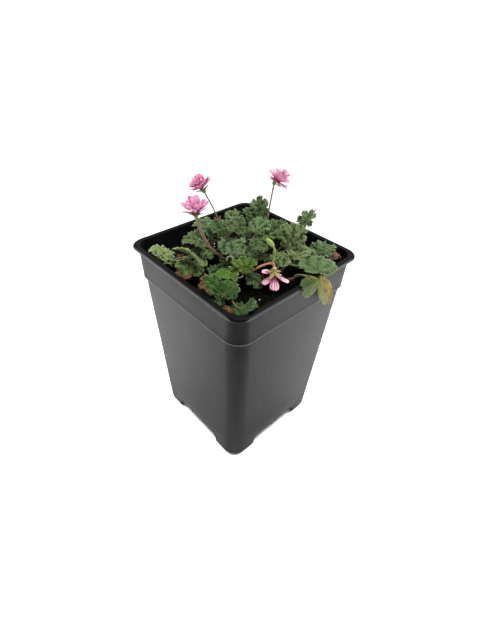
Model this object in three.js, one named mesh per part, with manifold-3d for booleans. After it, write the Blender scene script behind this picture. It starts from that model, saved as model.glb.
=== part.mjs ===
// Potted storksbill: a square nursery pot, its compost and a small tufted perennial with three double blooms,
// one nodding bloom and a bud. Millimetres, +Z up, pot axis on the origin, pot sides along X and Y.
import * as THREE from 'three';
import Module from 'manifold-3d';
import { mergeVertices } from 'three/addons/utils/BufferGeometryUtils.js';

const wasm = await Module();
wasm.setup();

// driving sizes, millimetres
const POT_HEIGHT = 143;
const RIM_HALF = 55;
const RIM_CORNER = 10;
const LIP_DEPTH = 2.5;
const LIP_WIDTH = 4;
const BAND_HALF_TOP = 52.25;
const BAND_HALF_FOOT = 51.65;
const STEP_HEIGHT = 120;
const BODY_HALF_TOP = 50.7;
const BODY_HALF_FOOT = 41.15;
const BODY_CORNER_TOP = 11.7;
const BODY_CORNER_FOOT = 10;
const POT_WALL = 1.25;
const CHANNEL_HALF = 20;
const CHANNEL_HEIGHT = 8.8;
const CHANNEL_FLARE = 3;
const DRAIN_RADIUS = 3.5;
const DRAIN_OFFSET = 26;
const CORNER_STEPS = 4;
const CLEARANCE = 0.3;
const SOIL_EDGE = 127;
const SOIL_MOUND = 6;
const SOIL_ROUGHNESS = 0.5;
const ROOT_FOOT = 62;
const STEM_FOOT = 117;
const SINGLE_FOOT = 119;
const BLADE_THICKNESS = 0.7;
const STALK_RADII = [0.9, 0.8, 0.75, 0.65, 0.3];
const SINGLE_STALK_RADIUS = 0.7;
const CURL_RADIUS = 2;
const PETAL_THICKNESS = 0.7;
const SLIVER = 0.06;

// reach of each lobe and of the notch after it from tip to base, as a share of half a leaf
const ROUND_LEAF = { lobes: [1.05, 1.03, 1, 0.98], notches: [0.82, 0.8, 0.8, 0.66] };
const CUT_LEAF = { lobes: [1.1, 1, 0.95, 0.9], notches: [0.6, 0.56, 0.58, 0.6] };
const LOBE_HALF_TURN = 14;
// a blade narrower than this goes without its inner ring of points
const RINGED_WIDTH = 15;
const LEAF_HUB = 0.48;
const RIB_COUNT = 7;
// the lip a leaf bends over: start of the bend and its radius
const DRAPE_START = 54.2;
const DRAPE_RADIUS = 1.6;

const GREY_GREEN = 0x5f7f54;
const BRIGHT_GREEN = 0x6f9a3c;
const FADED_BROWN = 0x7a5b33;
const FADED_YELLOW = 0xb79a3a;
const STALK_BROWN = 0x8f6a55;
const PETAL_PINK = 0xe08ac4;
const BARK_BROWN = 0x4a3526;
const COMPOST_BROWN = 0x1d1815;
const POT_GREY = 0x3b3d3f;

function seededDraw(seed) {
  let state = seed;
  return () => {
    state = (state * 1664525 + 1013904223) % 4294967296;
    return state / 4294967296;
  };
}

function vec(list) {
  return new THREE.Vector3(list[0], list[1], list[2]);
}

function solidFrom(points, faces) {
  const vertProperties = new Float32Array(points.length * 3);
  points.forEach((point, i) => vertProperties.set([point.x, point.y, point.z], i * 3));
  const triVerts = new Uint32Array(faces.flat());
  return new wasm.Manifold(new wasm.Mesh({ numProp: 3, vertProperties, triVerts }));
}

function solidFromGeometry(geometry) {
  const plain = geometry.clone();
  plain.deleteAttribute('normal');
  plain.deleteAttribute('uv');
  const merged = mergeVertices(plain, 1e-4);
  const vertProperties = new Float32Array(merged.attributes.position.array);
  const triVerts = new Uint32Array(merged.index.array);
  return new wasm.Manifold(new wasm.Mesh({ numProp: 3, vertProperties, triVerts }));
}

function fuse(solids) {
  return solids.reduce((sum, solid) => sum.add(solid));
}

function largestBody(solid) {
  const bodies = solid.decompose();
  return bodies.sort((a, b) => b.volume() - a.volume())[0];
}

// a closed skin over rings that all have the same count of points, each end closed by a fan
function loft(rings) {
  const count = rings[0].length;
  const points = rings.flat();
  const faces = [];
  for (let ring = 0; ring < rings.length - 1; ring += 1) {
    for (let i = 0; i < count; i += 1) {
      const a = ring * count + i;
      const b = ring * count + ((i + 1) % count);
      faces.push([a, b, b + count], [a, b + count, a + count]);
    }
  }
  const last = (rings.length - 1) * count;
  const startHub = points.push(ringCentre(rings[0])) - 1;
  const endHub = points.push(ringCentre(rings[rings.length - 1])) - 1;
  for (let i = 0; i < count; i += 1) {
    const next = (i + 1) % count;
    faces.push([startHub, next, i], [endHub, last + i, last + next]);
  }
  return solidFrom(points, faces);
}

function ringCentre(ring) {
  const sum = ring.reduce((total, point) => total.add(point), new THREE.Vector3());
  return sum.divideScalar(ring.length);
}

// a square with rounded corners at a height
function squareRing(half, corner, z) {
  const ring = [];
  for (let quarter = 0; quarter < 4; quarter += 1) {
    for (let step = 0; step <= CORNER_STEPS; step += 1) {
      const turn = (quarter + step / CORNER_STEPS) * Math.PI / 2;
      const hub = quarter * Math.PI / 2 + Math.PI / 4;
      const hubReach = (half - corner) * Math.SQRT2;
      ring.push(new THREE.Vector3(
        hubReach * Math.cos(hub) + corner * Math.cos(turn),
        hubReach * Math.sin(hub) + corner * Math.sin(turn),
        z,
      ));
    }
  }
  return ring;
}

// half width and corner radius of the pot's plain body at a height
function bodyAt(z) {
  const share = z / STEP_HEIGHT;
  return {
    half: BODY_HALF_FOOT + (BODY_HALF_TOP - BODY_HALF_FOOT) * share,
    corner: BODY_CORNER_FOOT + (BODY_CORNER_TOP - BODY_CORNER_FOOT) * share,
  };
}

function bodyRing(z, inset) {
  const size = bodyAt(z);
  return squareRing(size.half - inset, Math.max(size.corner - inset, 1), z);
}

// one of the two crossing channels under the pot, as a long bar; grow widens it for the pot's inner face
function channelBar(alongX, grow) {
  const half = CHANNEL_HALF + grow;
  const roof = CHANNEL_HEIGHT + grow;
  const rightSide = [
    [half + CHANNEL_FLARE, -1],
    [half + CHANNEL_FLARE, 0],
    [half + 0.9, 0.9],
    [half, CHANNEL_FLARE],
    [half - 0.4, roof - 2],
    [half - 2, roof],
  ];
  const leftSide = rightSide.map(([x, z]) => [-x, z]).reverse();
  const shape = new THREE.Shape([...rightSide, ...leftSide].map(([x, z]) => new THREE.Vector2(x, z)));
  const reach = RIM_HALF * 2;
  const bar = new THREE.ExtrudeGeometry(shape, { depth: reach, bevelEnabled: false });
  bar.translate(0, 0, -reach / 2);
  bar.rotateX(Math.PI / 2);
  if (alongX) {
    bar.rotateZ(Math.PI / 2);
  }
  return solidFromGeometry(bar);
}

function channelCross(grow) {
  return channelBar(true, grow).add(channelBar(false, grow));
}

function uprightCylinder(x, y, radius, low, high, sides = 12) {
  const cylinder = new THREE.CylinderGeometry(radius, radius, high - low, sides);
  cylinder.rotateX(Math.PI / 2);
  cylinder.translate(x, y, (low + high) / 2);
  return solidFromGeometry(cylinder);
}

function potSolid() {
  const bandCorner = 11.8;
  const outer = loft([
    squareRing(BODY_HALF_FOOT - 0.9, 9.2, 0),
    bodyRing(0.9, 0),
    bodyRing(60, 0),
    bodyRing(STEP_HEIGHT - 0.4, 0),
    squareRing(BAND_HALF_FOOT, bandCorner, STEP_HEIGHT + 0.3),
    squareRing(BAND_HALF_TOP, 9.6, POT_HEIGHT - LIP_DEPTH),
    squareRing(RIM_HALF - 0.7, 9.8, POT_HEIGHT - LIP_DEPTH),
    squareRing(RIM_HALF, RIM_CORNER, POT_HEIGHT - 1.8),
    squareRing(RIM_HALF - 0.1, RIM_CORNER, POT_HEIGHT - 0.8),
    squareRing(RIM_HALF - 1, 9.4, POT_HEIGHT),
  ]);
  const inner = loft([
    bodyRing(POT_WALL, POT_WALL),
    bodyRing(60, POT_WALL),
    bodyRing(STEP_HEIGHT, POT_WALL),
    squareRing(BAND_HALF_FOOT - POT_WALL, bandCorner - POT_WALL, STEP_HEIGHT + 1.2),
    squareRing(RIM_HALF - LIP_WIDTH, 8.2, POT_HEIGHT - 0.6),
    squareRing(RIM_HALF - LIP_WIDTH + 0.6, 8.6, POT_HEIGHT + 0.5),
  ]);
  const cavity = inner.subtract(channelCross(POT_WALL));
  let pot = outer.subtract(channelCross(0)).subtract(cavity);
  const drains = [[DRAIN_OFFSET, 0], [-DRAIN_OFFSET, 0], [0, DRAIN_OFFSET], [0, -DRAIN_OFFSET], [0, 0]];
  drains.forEach(([x, y]) => {
    pot = pot.subtract(uprightCylinder(x, y, DRAIN_RADIUS, 1, CHANNEL_HEIGHT + POT_WALL + 1, 10));
  });
  return pot;
}

// height of the compost before its small lumps
function soilHeight(x, y) {
  const reach = Math.max(Math.abs(x), Math.abs(y)) / 50;
  return SOIL_EDGE + SOIL_MOUND * Math.max(0, 1 - reach * reach);
}

function soilSolid(holes) {
  const draw = seededDraw(11);
  const inset = POT_WALL + CLEARANCE;
  const edgeHalf = BAND_HALF_FOOT - inset;
  const rings = [
    bodyRing(inset, inset),
    bodyRing(STEP_HEIGHT, inset),
    squareRing(edgeHalf, 10, STEP_HEIGHT + 1.2),
    squareRing(edgeHalf + 0.1, 10, SOIL_EDGE - 1),
  ];
  [0.86, 0.6, 0.3].forEach((share) => {
    const ring = squareRing(edgeHalf * share, 10 * share, 0);
    ring.forEach((point) => {
      point.z = soilHeight(point.x, point.y) + (draw() - 0.5) * 2 * SOIL_ROUGHNESS;
    });
    rings.push(ring);
  });
  let soil = loft(rings).subtract(channelCross(inset));
  holes.forEach((hole) => {
    soil = soil.subtract(hole);
  });
  return largestBody(soil);
}

// a round bar along a smooth path through the given points; its radius follows the given shares of the way
function bar(path, radii, steps, sides = 5) {
  const curve = new THREE.CatmullRomCurve3(path.map(vec), false, 'centripetal');
  return sweep(curve.getSpacedPoints(steps), radii, sides);
}

function sweep(points, radii, sides) {
  const last = points.length - 1;
  let side = new THREE.Vector3(0.37, 0.92, 0.13);
  const rings = points.map((point, i) => {
    const ahead = points[Math.min(i + 1, last)].clone().sub(points[Math.max(i - 1, 0)]).normalize();
    side = side.clone().addScaledVector(ahead, -side.dot(ahead)).normalize();
    const other = ahead.clone().cross(side);
    const radius = radiusAt(radii, i / last);
    const ring = [];
    for (let k = 0; k < sides; k += 1) {
      const turn = k / sides * Math.PI * 2;
      ring.push(point.clone().addScaledVector(side, Math.cos(turn) * radius)
        .addScaledVector(other, Math.sin(turn) * radius));
    }
    return ring;
  });
  return loft(rings);
}

function radiusAt(radii, share) {
  const spot = share * (radii.length - 1);
  const below = Math.min(Math.floor(spot), radii.length - 2);
  return radii[below] + (radii[below + 1] - radii[below]) * (spot - below);
}

// the three directions of a blade: along it, across it and out of its upper face
function bladeFrame(leaf) {
  const along = vec(leaf.to).sub(vec(leaf.from)).normalize();
  const level = new THREE.Vector3(0, 0, 1).cross(along).normalize();
  const up = along.clone().cross(level);
  const turn = THREE.MathUtils.degToRad(leaf.turn ?? 0);
  const across = level.clone().multiplyScalar(Math.cos(turn)).addScaledVector(up, Math.sin(turn));
  return { along, across, out: along.clone().cross(across) };
}

// a point of the blade's middle sheet; u runs from base to tip, v from side to side
function bladePoint(leaf, frame, u, v) {
  const length = vec(leaf.to).distanceTo(vec(leaf.from));
  const turn = Math.atan2(v, 2 * (u - LEAF_HUB));
  const reach = v * v + 4 * (u - LEAF_HUB) ** 2;
  const fold = (leaf.fold ?? 0.1) * Math.abs(v) ** 1.4 * leaf.width / 2;
  const arch = (leaf.arch ?? 0.1) * length * Math.sin(Math.PI * Math.min(Math.max(u, 0), 1));
  const ribs = -(leaf.ribs ?? 0.45) * reach * Math.cos(RIB_COUNT * turn);
  const sway = (leaf.sway ?? 0.8) * reach * Math.sin(3 * turn + (leaf.phase ?? 0));
  const point = vec(leaf.from)
    .addScaledVector(frame.along, u * length)
    .addScaledVector(frame.across, v * leaf.width / 2)
    .addScaledVector(frame.out, fold + arch + ribs + sway);
  return drape(point);
}

// what would stand out past the lip bends down over it
function drape(point) {
  const past = point.x - DRAPE_START;
  if (past <= 0) {
    return point;
  }
  const bend = Math.min(past / DRAPE_RADIUS, Math.PI / 2);
  const below = Math.max(0, past - DRAPE_RADIUS * Math.PI / 2);
  const radius = point.z - POT_HEIGHT;
  point.x = DRAPE_START + radius * Math.sin(bend);
  point.z = POT_HEIGHT + radius * Math.cos(bend) - below;
  return point;
}

function bladeNormal(leaf, frame, u, v) {
  const reach = 0.03;
  const alongStep = bladePoint(leaf, frame, u + reach, v).sub(bladePoint(leaf, frame, u - reach, v));
  const acrossStep = bladePoint(leaf, frame, u, v + reach).sub(bladePoint(leaf, frame, u, v - reach));
  return alongStep.cross(acrossStep).normalize();
}

// the blade as a thin closed plate, both faces split into the same triangles
function bladeSolid(leaf, grow = 0) {
  const frame = bladeFrame(leaf);
  const shape = leaf.cut ? CUT_LEAF : ROUND_LEAF;
  const spread = 1 + grow * 2 / leaf.width;
  const ribTurn = 360 / RIB_COUNT;
  const ribs = [];
  const outline = [];
  for (let rib = 0; rib < RIB_COUNT; rib += 1) {
    const lobe = shape.lobes[Math.min(rib, RIB_COUNT - rib)];
    const notch = shape.notches[Math.min(rib, RIB_COUNT - 1 - rib)];
    ribs.push(leafSpot(rib * ribTurn, lobe * 0.55));
    outline.push(leafSpot(rib * ribTurn - LOBE_HALF_TURN, lobe * spread));
    outline.push(leafSpot(rib * ribTurn + LOBE_HALF_TURN, lobe * spread));
    outline.push(leafSpot((rib + 0.5) * ribTurn, notch * spread));
  }
  const ringed = leaf.ringed ?? leaf.width >= RINGED_WIDTH;
  const rim = ringed ? 1 + RIB_COUNT : 1;
  const faces = [];
  if (!ringed) {
    outline.forEach((spot, i) => faces.push([0, 1 + i, 1 + ((i + 1) % outline.length)]));
  }
  for (let rib = 0; ringed && rib < RIB_COUNT; rib += 1) {
    const here = 1 + rib;
    const next = 1 + ((rib + 1) % RIB_COUNT);
    const onRim = (step) => rim + ((rib * 3 + step) % outline.length);
    const notch = onRim(2);
    faces.push([0, here, next], [here, onRim(0), onRim(1)], [here, onRim(1), notch]);
    faces.push([here, notch, next], [next, notch, onRim(3)]);
  }
  const sheet = [[LEAF_HUB, 0], ...(ringed ? ribs : []), ...outline].map(([u, v]) => ({
    place: bladePoint(leaf, frame, u, v),
    out: bladeNormal(leaf, frame, u, v),
  }));
  return plateSolid(sheet, faces, rim, BLADE_THICKNESS / 2 + grow);
}

// a spot of the blade by its turn from the tip in degrees and its reach from the hub
function leafSpot(degrees, reach) {
  const turn = THREE.MathUtils.degToRad(degrees);
  return [LEAF_HUB + 0.5 * reach * Math.cos(turn), reach * Math.sin(turn)];
}

// thickens a sheet of triangles to both sides; the sheet's points from rim onward run round its edge
function plateSolid(sheet, faces, rim, half) {
  const count = sheet.length;
  const moved = (distance) => sheet.map(({ place, out }) => place.clone().addScaledVector(out, distance));
  const points = [...moved(half), ...moved(-half)];
  const lower = faces.map(([a, b, c]) => [a + count, c + count, b + count]);
  const edge = [];
  const around = count - rim;
  for (let i = 0; i < around; i += 1) {
    const a = rim + i;
    const b = rim + ((i + 1) % around);
    edge.push([a, a + count, b + count], [a, b + count, b]);
  }
  return solidFrom(points, [...faces, ...lower, ...edge]);
}

// the leaf stalk leaves the shoot upward, meets the blade along its own direction and ends inside its sheet
function leafStalk(origin, leaf, grow = 0) {
  const frame = bladeFrame(leaf);
  const start = vec(origin);
  const foot = bladePoint(leaf, frame, 0.06, 0);
  const inside = bladePoint(leaf, frame, 0.24, 0);
  const span = start.distanceTo(foot);
  const arrive = foot.clone().sub(inside).normalize();
  const curve = new THREE.CubicBezierCurve3(
    start,
    start.clone().add(new THREE.Vector3(0, 0, (leaf.lift ?? 0.35) * span)),
    foot.clone().addScaledVector(arrive, (leaf.lead ?? 0.3) * span),
    foot,
  );
  const path = [...curve.getPoints(3), inside];
  return sweep(path, STALK_RADII.map((radius) => radius + grow), 3);
}

function leaf(from, to, width, more = {}) {
  return { from, to, width, ...more };
}

// a flat blade that lies on the lip or hangs over it
const LYING = { arch: 0.01, fold: 0.01, sway: 0.15, ribs: 0.2, lift: 0.3 };

// each shoot: where it leaves the compost, where its leaf stalks part, and its leaves from blade foot to tip
const SHOOTS = [
  {
    name: 'leafy_shoot_centre', root: [1, 0], crown: [2, 0, 141], colour: GREY_GREEN,
    leaves: [
      leaf([-4, -10, 153], [10, -17, 147], 18),
      leaf([1, -3, 155], [-14, -5, 160], 17),
      leaf([7, 4, 156], [1, 17, 161], 15),
      leaf([9, -3, 154], [19, 3, 150], 17),
      leaf([8, -7, 151], [18, -12, 142], 14),
      leaf([12, 4, 153], [10, 19, 156], 17),
      leaf([-1, 2, 150], [-9, 11, 152], 13),
      leaf([10, 0, 143], [17, 6, 140], 12),
    ],
  },
  {
    name: 'leafy_shoot_back_left', root: [-10, 5], crown: [-13, 2, 139], colour: GREY_GREEN,
    leaves: [
      leaf([-18, -9, 147], [-37, -10, 152], 18),
      leaf([-10, -7, 149], [-27, -4, 154], 16),
      leaf([-20, -12, 144], [-36, -18, 146], 14),
      leaf([-12, 8, 150], [-24, 6, 160], 14, { turn: 22, fold: 0.3 }),
    ],
  },
  {
    name: 'leafy_shoot_back', root: [-3, 12], crown: [-3, 15, 140], colour: GREY_GREEN,
    leaves: [
      leaf([-6, 20, 152], [-15, 28, 168], 14, { turn: -12 }),
      leaf([-8, 18, 150], [-19, 19, 160], 15, { turn: 10 }),
      leaf([5, 18, 149], [4, 34, 154], 16),
      leaf([1, 20, 148], [-4, 29, 151], 12),
    ],
  },
  {
    name: 'leafy_shoot_left', root: [-11, -6], crown: [-13, -10, 136], colour: GREY_GREEN,
    leaves: [
      leaf([-15, -19, 144], [-30, -27, 147], 19),
      leaf([-19, -17, 142], [-23, -26, 137], 11),
      leaf([-12, -17, 142], [-9, -26, 141], 11),
      leaf([-11, -11, 143], [-3, -8.5, 142], 9),
    ],
  },
  {
    name: 'leafy_shoot_back_right', root: [13, 10], crown: [16, 13, 137], colour: GREY_GREEN,
    leaves: [
      leaf([23, 19, 146], [16, 32, 158], 20),
      leaf([29, 15, 143], [30, 31, 146], 19),
      leaf([25, 12, 146], [27, 2, 141], 16),
      leaf([15, 38, 149], [13, 54, 160], 13, { cut: true }),
      leaf([31, 18, 142], [35, 31, 145], 12),
    ],
  },
  {
    name: 'leafy_shoot_right', root: [19, 4], crown: [27, 10, 135], colour: GREY_GREEN,
    leaves: [
      leaf([37, 27, 141], [38, 46, 146], 16),
      leaf([53, 12, 144.9], [41, 26, 146.6], 24, { ...LYING, fold: -0.06, lead: 0.05, lift: 0.4 }),
    ],
  },
  {
    name: 'hanging_leaf_right', root: [28, 3], crown: [40, 6, 137], colour: FADED_YELLOW,
    leaves: [
      leaf([52, 5, 144.9], [67, -1, 144.9], 15, LYING),
      leaf([54, 10, 145.2], [80, 28, 145], 11, { ...LYING, ringed: true }),
    ],
  },
  {
    name: 'leafy_shoot_front', root: [10, -9], crown: [13, -12, 134], colour: BRIGHT_GREEN,
    curl: [7, -19.5, 147],
    leaves: [
      leaf([23, -26, 142], [11, -35, 138.5], 15),
      leaf([24, -20, 143], [14, -14, 148], 16),
      leaf([20, -15, 139], [30, -12, 134], 14),
      leaf([3, -20, 138], [3, -31, 136], 13),
      leaf([4, -13, 140], [-2, -19, 140], 11),
    ],
  },
  {
    name: 'leafy_shoot_left_corner', root: [-13, -17], crown: [-15, -21, 134], colour: GREY_GREEN,
    leaves: [
      leaf([-27, -41, 136.5], [-44, -41, 140], 17, { turn: 12 }),
      leaf([-27, -37, 135], [-31, -47, 134], 12),
      leaf([0, -33, 142], [-21, -41, 149], 13, { turn: 20, fold: 0.1 }),
      leaf([-8, -28, 136], [-12, -47, 135], 19, { turn: -10 }),
    ],
  },
  {
    name: 'leafy_shoot_front_corner', root: [6, -16], crown: [16, -28, 133], colour: GREY_GREEN,
    leaves: [
      leaf([26, -40, 138], [12, -44, 146], 20),
      leaf([29, -42, 140], [30, -33, 146], 15),
      leaf([28, -40, 136], [22, -49, 138], 13),
      leaf([33, -38, 134.5], [46, -42, 136], 15),
      leaf([43, -37, 139], [49, -32, 142], 11),
    ],
  },
];

// withered leaves that stand in the compost by themselves
const SINGLE_LEAVES = [
  {
    name: 'brown_leaf_right', root: [34, 30], colour: FADED_BROWN,
    blade: leaf([41, 37, 138], [42, 48, 140], 11),
  },
  {
    name: 'dead_leaf_left', root: [-17, -30], colour: FADED_BROWN,
    blade: leaf([-22, -31, 134], [-33, -35, 134], 8),
  },
  {
    name: 'dead_leaf_back', root: [6, 34], colour: FADED_BROWN,
    blade: leaf([4, 38, 138], [0, 47, 142], 8),
  },
  {
    name: 'yellow_leaf_front', root: [27, -46], colour: FADED_YELLOW,
    blade: leaf([34, -46.5, 138], [44, -47.5, 139], 4.5),
  },
];

// each double bloom: its stalk from below the compost, the middle of its head and where the head faces
const BLOOMS = [
  {
    name: 'bloom_left_tall', reach: 8.6, seed: 5, face: [-0.37, -0.26, 0.82], head: [-33, -9, 180],
    stalk: [[-9, 0, 117], [-9, 0, 131], [-18, 3, 140], [-28.5, 2.8, 151], [-32, 0, 161]],
    radii: [0.8, 0.6],
  },
  {
    name: 'bloom_left_low', reach: 10, seed: 6, face: [-0.1, 0.02, 0.99], head: [-12, -30, 176],
    stalk: [[-4, -8, 117], [-4, -8, 131], [-5, -14, 139], [-7.4, -20.6, 146], [-9.5, -26, 157]],
    radii: [1, 0.85],
  },
  {
    name: 'bloom_right', reach: 8.6, seed: 7, face: [0.5, 0.34, 0.66], head: [-1, 29, 183],
    stalk: [[3, 15, 117], [3, 15, 130], [0, 24, 141], [-7, 29, 152], [-6, 29.5, 165]],
    radii: [0.8, 0.6],
  },
];
const SEPAL_COUNT = 5;
const CORE_RADIUS = 2;
const CUP_RADIUS = 1.4;
const PETAL_SINK = 1.1;

// a petal, sepal or bract: a short curved plate from a pointed foot to a rounded tip
function petalSolid(root, along, face, size) {
  const out = face.clone().addScaledVector(along, -face.dot(along)).normalize();
  const across = out.clone().cross(along);
  const spot = (t, w) => root.clone()
    .addScaledVector(along, t * size.length)
    .addScaledVector(across, w * size.width / 2)
    .addScaledVector(out, size.length * size.curl * t * t + Math.abs(w) * size.width * 0.12);
  const outline = [[0, 0], [0.55, -0.95], [0.95, -0.6], [0.95, 0.6], [0.55, 0.95]];
  const sheet = [[0.6, 0], ...outline].map(([t, w]) => ({ place: spot(t, w), out }));
  const faces = [[0, 1, 2], [0, 2, 3], [0, 3, 4], [0, 4, 5], [0, 5, 1]];
  return plateSolid(sheet, faces, 1, PETAL_THICKNESS / 2);
}

function ball(centre, radius) {
  const sphere = new THREE.IcosahedronGeometry(radius, 0);
  sphere.translate(centre.x, centre.y, centre.z);
  return solidFromGeometry(sphere);
}

// a direction opened from the facing direction by one angle and turned round it by another
function opened(face, open, turn) {
  const side = new THREE.Vector3(0.6, -0.8, 0.1).cross(face).normalize();
  const other = face.clone().cross(side);
  return face.clone().multiplyScalar(Math.cos(open))
    .addScaledVector(side, Math.sin(open) * Math.cos(turn))
    .addScaledVector(other, Math.sin(open) * Math.sin(turn));
}

// a double bloom: three layers of petals round a small core
function bloomPetals(bloom) {
  const draw = seededDraw(bloom.seed);
  const face = vec(bloom.face).normalize();
  const head = vec(bloom.head);
  const layers = [
    { count: 8, open: 80, length: 1, width: 3.2 },
    { count: 6, open: 54, length: 0.92, width: 3.1 },
    { count: 4, open: 26, length: 0.8, width: 2.8 },
  ];
  const parts = [ball(head, CORE_RADIUS)];
  layers.forEach((layer, row) => {
    for (let i = 0; i < layer.count; i += 1) {
      const turn = (i + row * 0.5 + (draw() - 0.5) * 0.25) / layer.count * Math.PI * 2;
      const open = THREE.MathUtils.degToRad(layer.open + (draw() - 0.5) * 14);
      const along = opened(face, open, turn);
      const root = head.clone().addScaledVector(along, 0.5).addScaledVector(face, row * 0.6 - PETAL_SINK);
      const length = (bloom.reach - 1) * layer.length * (0.94 + draw() * 0.12);
      parts.push(petalSolid(root, along, face, { length, width: layer.width, curl: 0.14 }));
    }
  });
  return largestBody(fuse(parts));
}

// the stalk of a double bloom with the cup and sepals under its head
function calyxAndStalk(bloom, grow = 0) {
  const face = vec(bloom.face).normalize();
  const cup = vec(bloom.head).addScaledVector(face, -(CORE_RADIUS + CUP_RADIUS + CLEARANCE));
  const path = [...bloom.stalk, cup.toArray()];
  path[0] = [path[0][0], path[0][1], path[0][2] - grow];
  const parts = [bar(path, bloom.radii.map((radius) => radius + grow), 10, 4), ball(cup, CUP_RADIUS + grow)];
  for (let i = 0; i < SEPAL_COUNT; i += 1) {
    const along = opened(face, THREE.MathUtils.degToRad(84), (i + 0.3) / SEPAL_COUNT * Math.PI * 2);
    parts.push(petalSolid(cup, along, face, { length: 6.5, width: 2.2, curl: 0.12 }));
  }
  return largestBody(fuse(parts));
}

// the nodding bloom: an arched stalk, a bud on its own upright stalk, and five striped petals hanging
const NODDING_HEAD = new THREE.Vector3(32.6, -4.6, 141.2);
const NODDING_FACE = new THREE.Vector3(0.08, -0.08, -1).normalize();
const NODDING_PETALS = [
  { turn: -108, drop: 0.48, length: 9 },
  { turn: -40, drop: 0.62, length: 10 },
  { turn: 47, drop: 0.4, length: 10.4 },
  { turn: 112, drop: 0.4, length: 9 },
  { turn: 178, drop: 0.12, length: 9.2 },
];

function hangingDirection(degrees, drop) {
  const turn = THREE.MathUtils.degToRad(degrees);
  const level = Math.sqrt(1 - drop * drop);
  return new THREE.Vector3(Math.cos(turn) * level, Math.sin(turn) * level, -drop);
}

function noddingPetals() {
  const parts = [ball(NODDING_HEAD, CORE_RADIUS)];
  NODDING_PETALS.forEach(({ turn, drop, length }) => {
    const along = hangingDirection(turn, drop);
    const root = NODDING_HEAD.clone().addScaledVector(along, 0.6);
    parts.push(petalSolid(root, along, NODDING_FACE, { length, width: 5, curl: 0.05 }));
  });
  return largestBody(fuse(parts));
}

function noddingStalk(grow = 0) {
  const cup = NODDING_HEAD.clone().addScaledVector(NODDING_FACE, -(CORE_RADIUS + CUP_RADIUS + CLEARANCE));
  const arch = [
    [12, -8, 117 - grow], [12, -8, 131], [16.5, -12, 139], [21.3, -8.1, 144], [27.5, -4.5, 147],
    [30.6, -3.6, 147.4], cup.toArray(),
  ];
  const budStalk = [[30, -3.8, 147], [29.8, -2.6, 151.5], [30.3, -3.2, 156], [29.4, -3.6, 159.5]];
  const parts = [
    bar(arch, [0.95 + grow, 0.7 + grow], 10, 4),
    ball(cup, CUP_RADIUS + grow),
    bar(budStalk, [0.6 + grow, 0.6 + grow], 3, 4),
    bar([[29.6, -3.4, 158.8], [28, -5.4, 162], [26.4, -7.2, 164.5]], [0.7, 1.6, 1.9, 1.6, 0.7], 4, 5),
    bar([[30.1, -2.9, 154], [30.4, -3.3, 157.5]], [0.7, 1.2, 0.7], 2, 4),
  ];
  NODDING_PETALS.forEach(({ turn }) => {
    const along = hangingDirection(turn + 36, 0.35);
    parts.push(petalSolid(cup, along, NODDING_FACE, { length: 5.6, width: 2.4, curl: 0.05 }));
  });
  return largestBody(fuse(parts));
}

// the woody taproot, narrow at its foot
function rootstockSolid(grow = 0) {
  const path = [[-1, 6, ROOT_FOOT - grow], [0, 5, 90], [-1, 5, 118], [-1, 5, 134]];
  return bar(path, [1.2 + grow, 2.2 + grow, 3 + grow, 2.6 + grow], 8, 7);
}

function singleLeafSolid({ root, blade }, grow = 0) {
  const frame = bladeFrame(blade);
  const path = [
    [root[0], root[1], SINGLE_FOOT - grow],
    [root[0], root[1], soilHeight(root[0], root[1])],
    bladePoint(blade, frame, 0.1, 0).toArray(),
    bladePoint(blade, frame, 0.3, 0).toArray(),
  ];
  const stalk = bar(path, [SINGLE_STALK_RADIUS + grow, SINGLE_STALK_RADIUS * 0.5 + grow], 4, 3);
  return largestBody(stalk.add(bladeSolid(blade, grow)));
}

function shootStem(shoot, grow = 0) {
  const [x, y] = shoot.root;
  return bar([[x, y, STEM_FOOT - grow], [x, y, STEM_FOOT + 11], shoot.crown], [1.6 + grow, 1.2 + grow], 3, 5);
}

// every leaf of a shoot with its own seeded fold, arch and sway unless its entry names them
function shootLeaves(shoot) {
  const draw = seededDraw(Math.round(shoot.crown[0] * 7 + shoot.crown[1] * 13 + 500));
  return shoot.leaves.map((entry) => ({
    phase: draw() * Math.PI * 2,
    sway: 0.5 + draw() * 0.6,
    fold: draw() * 0.4 - 0.12,
    arch: 0.05 + draw() * 0.1,
    ...entry,
  }));
}

function shootSolid(shoot, grow = 0) {
  const parts = [shootStem(shoot, grow)];
  shootLeaves(shoot).forEach((entry) => {
    parts.push(leafStalk(shoot.crown, entry, grow), bladeSolid(entry, grow));
  });
  if (shoot.curl) {
    parts.push(curledTip(shoot.crown, shoot.curl, grow));
  }
  return largestBody(fuse(parts));
}

// a young leaf still rolled into a ring at the end of its stalk
function curledTip(crown, centre, grow) {
  const across = new THREE.Vector3(0.69, 0.72, 0);
  const up = new THREE.Vector3(-0.34, 0.33, 0.88);
  const path = [crown, vec(crown).lerp(vec(centre), 0.5).add(new THREE.Vector3(0, 0, 1)).toArray()];
  for (let turn = -60; turn <= 210; turn += 45) {
    const angle = THREE.MathUtils.degToRad(turn);
    const spot = vec(centre).addScaledVector(across, CURL_RADIUS * Math.cos(angle));
    path.push(spot.addScaledVector(up, CURL_RADIUS * Math.sin(angle)).toArray());
  }
  return bar(path, [0.8 + grow, 0.55 + grow], 14, 3);
}

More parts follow.
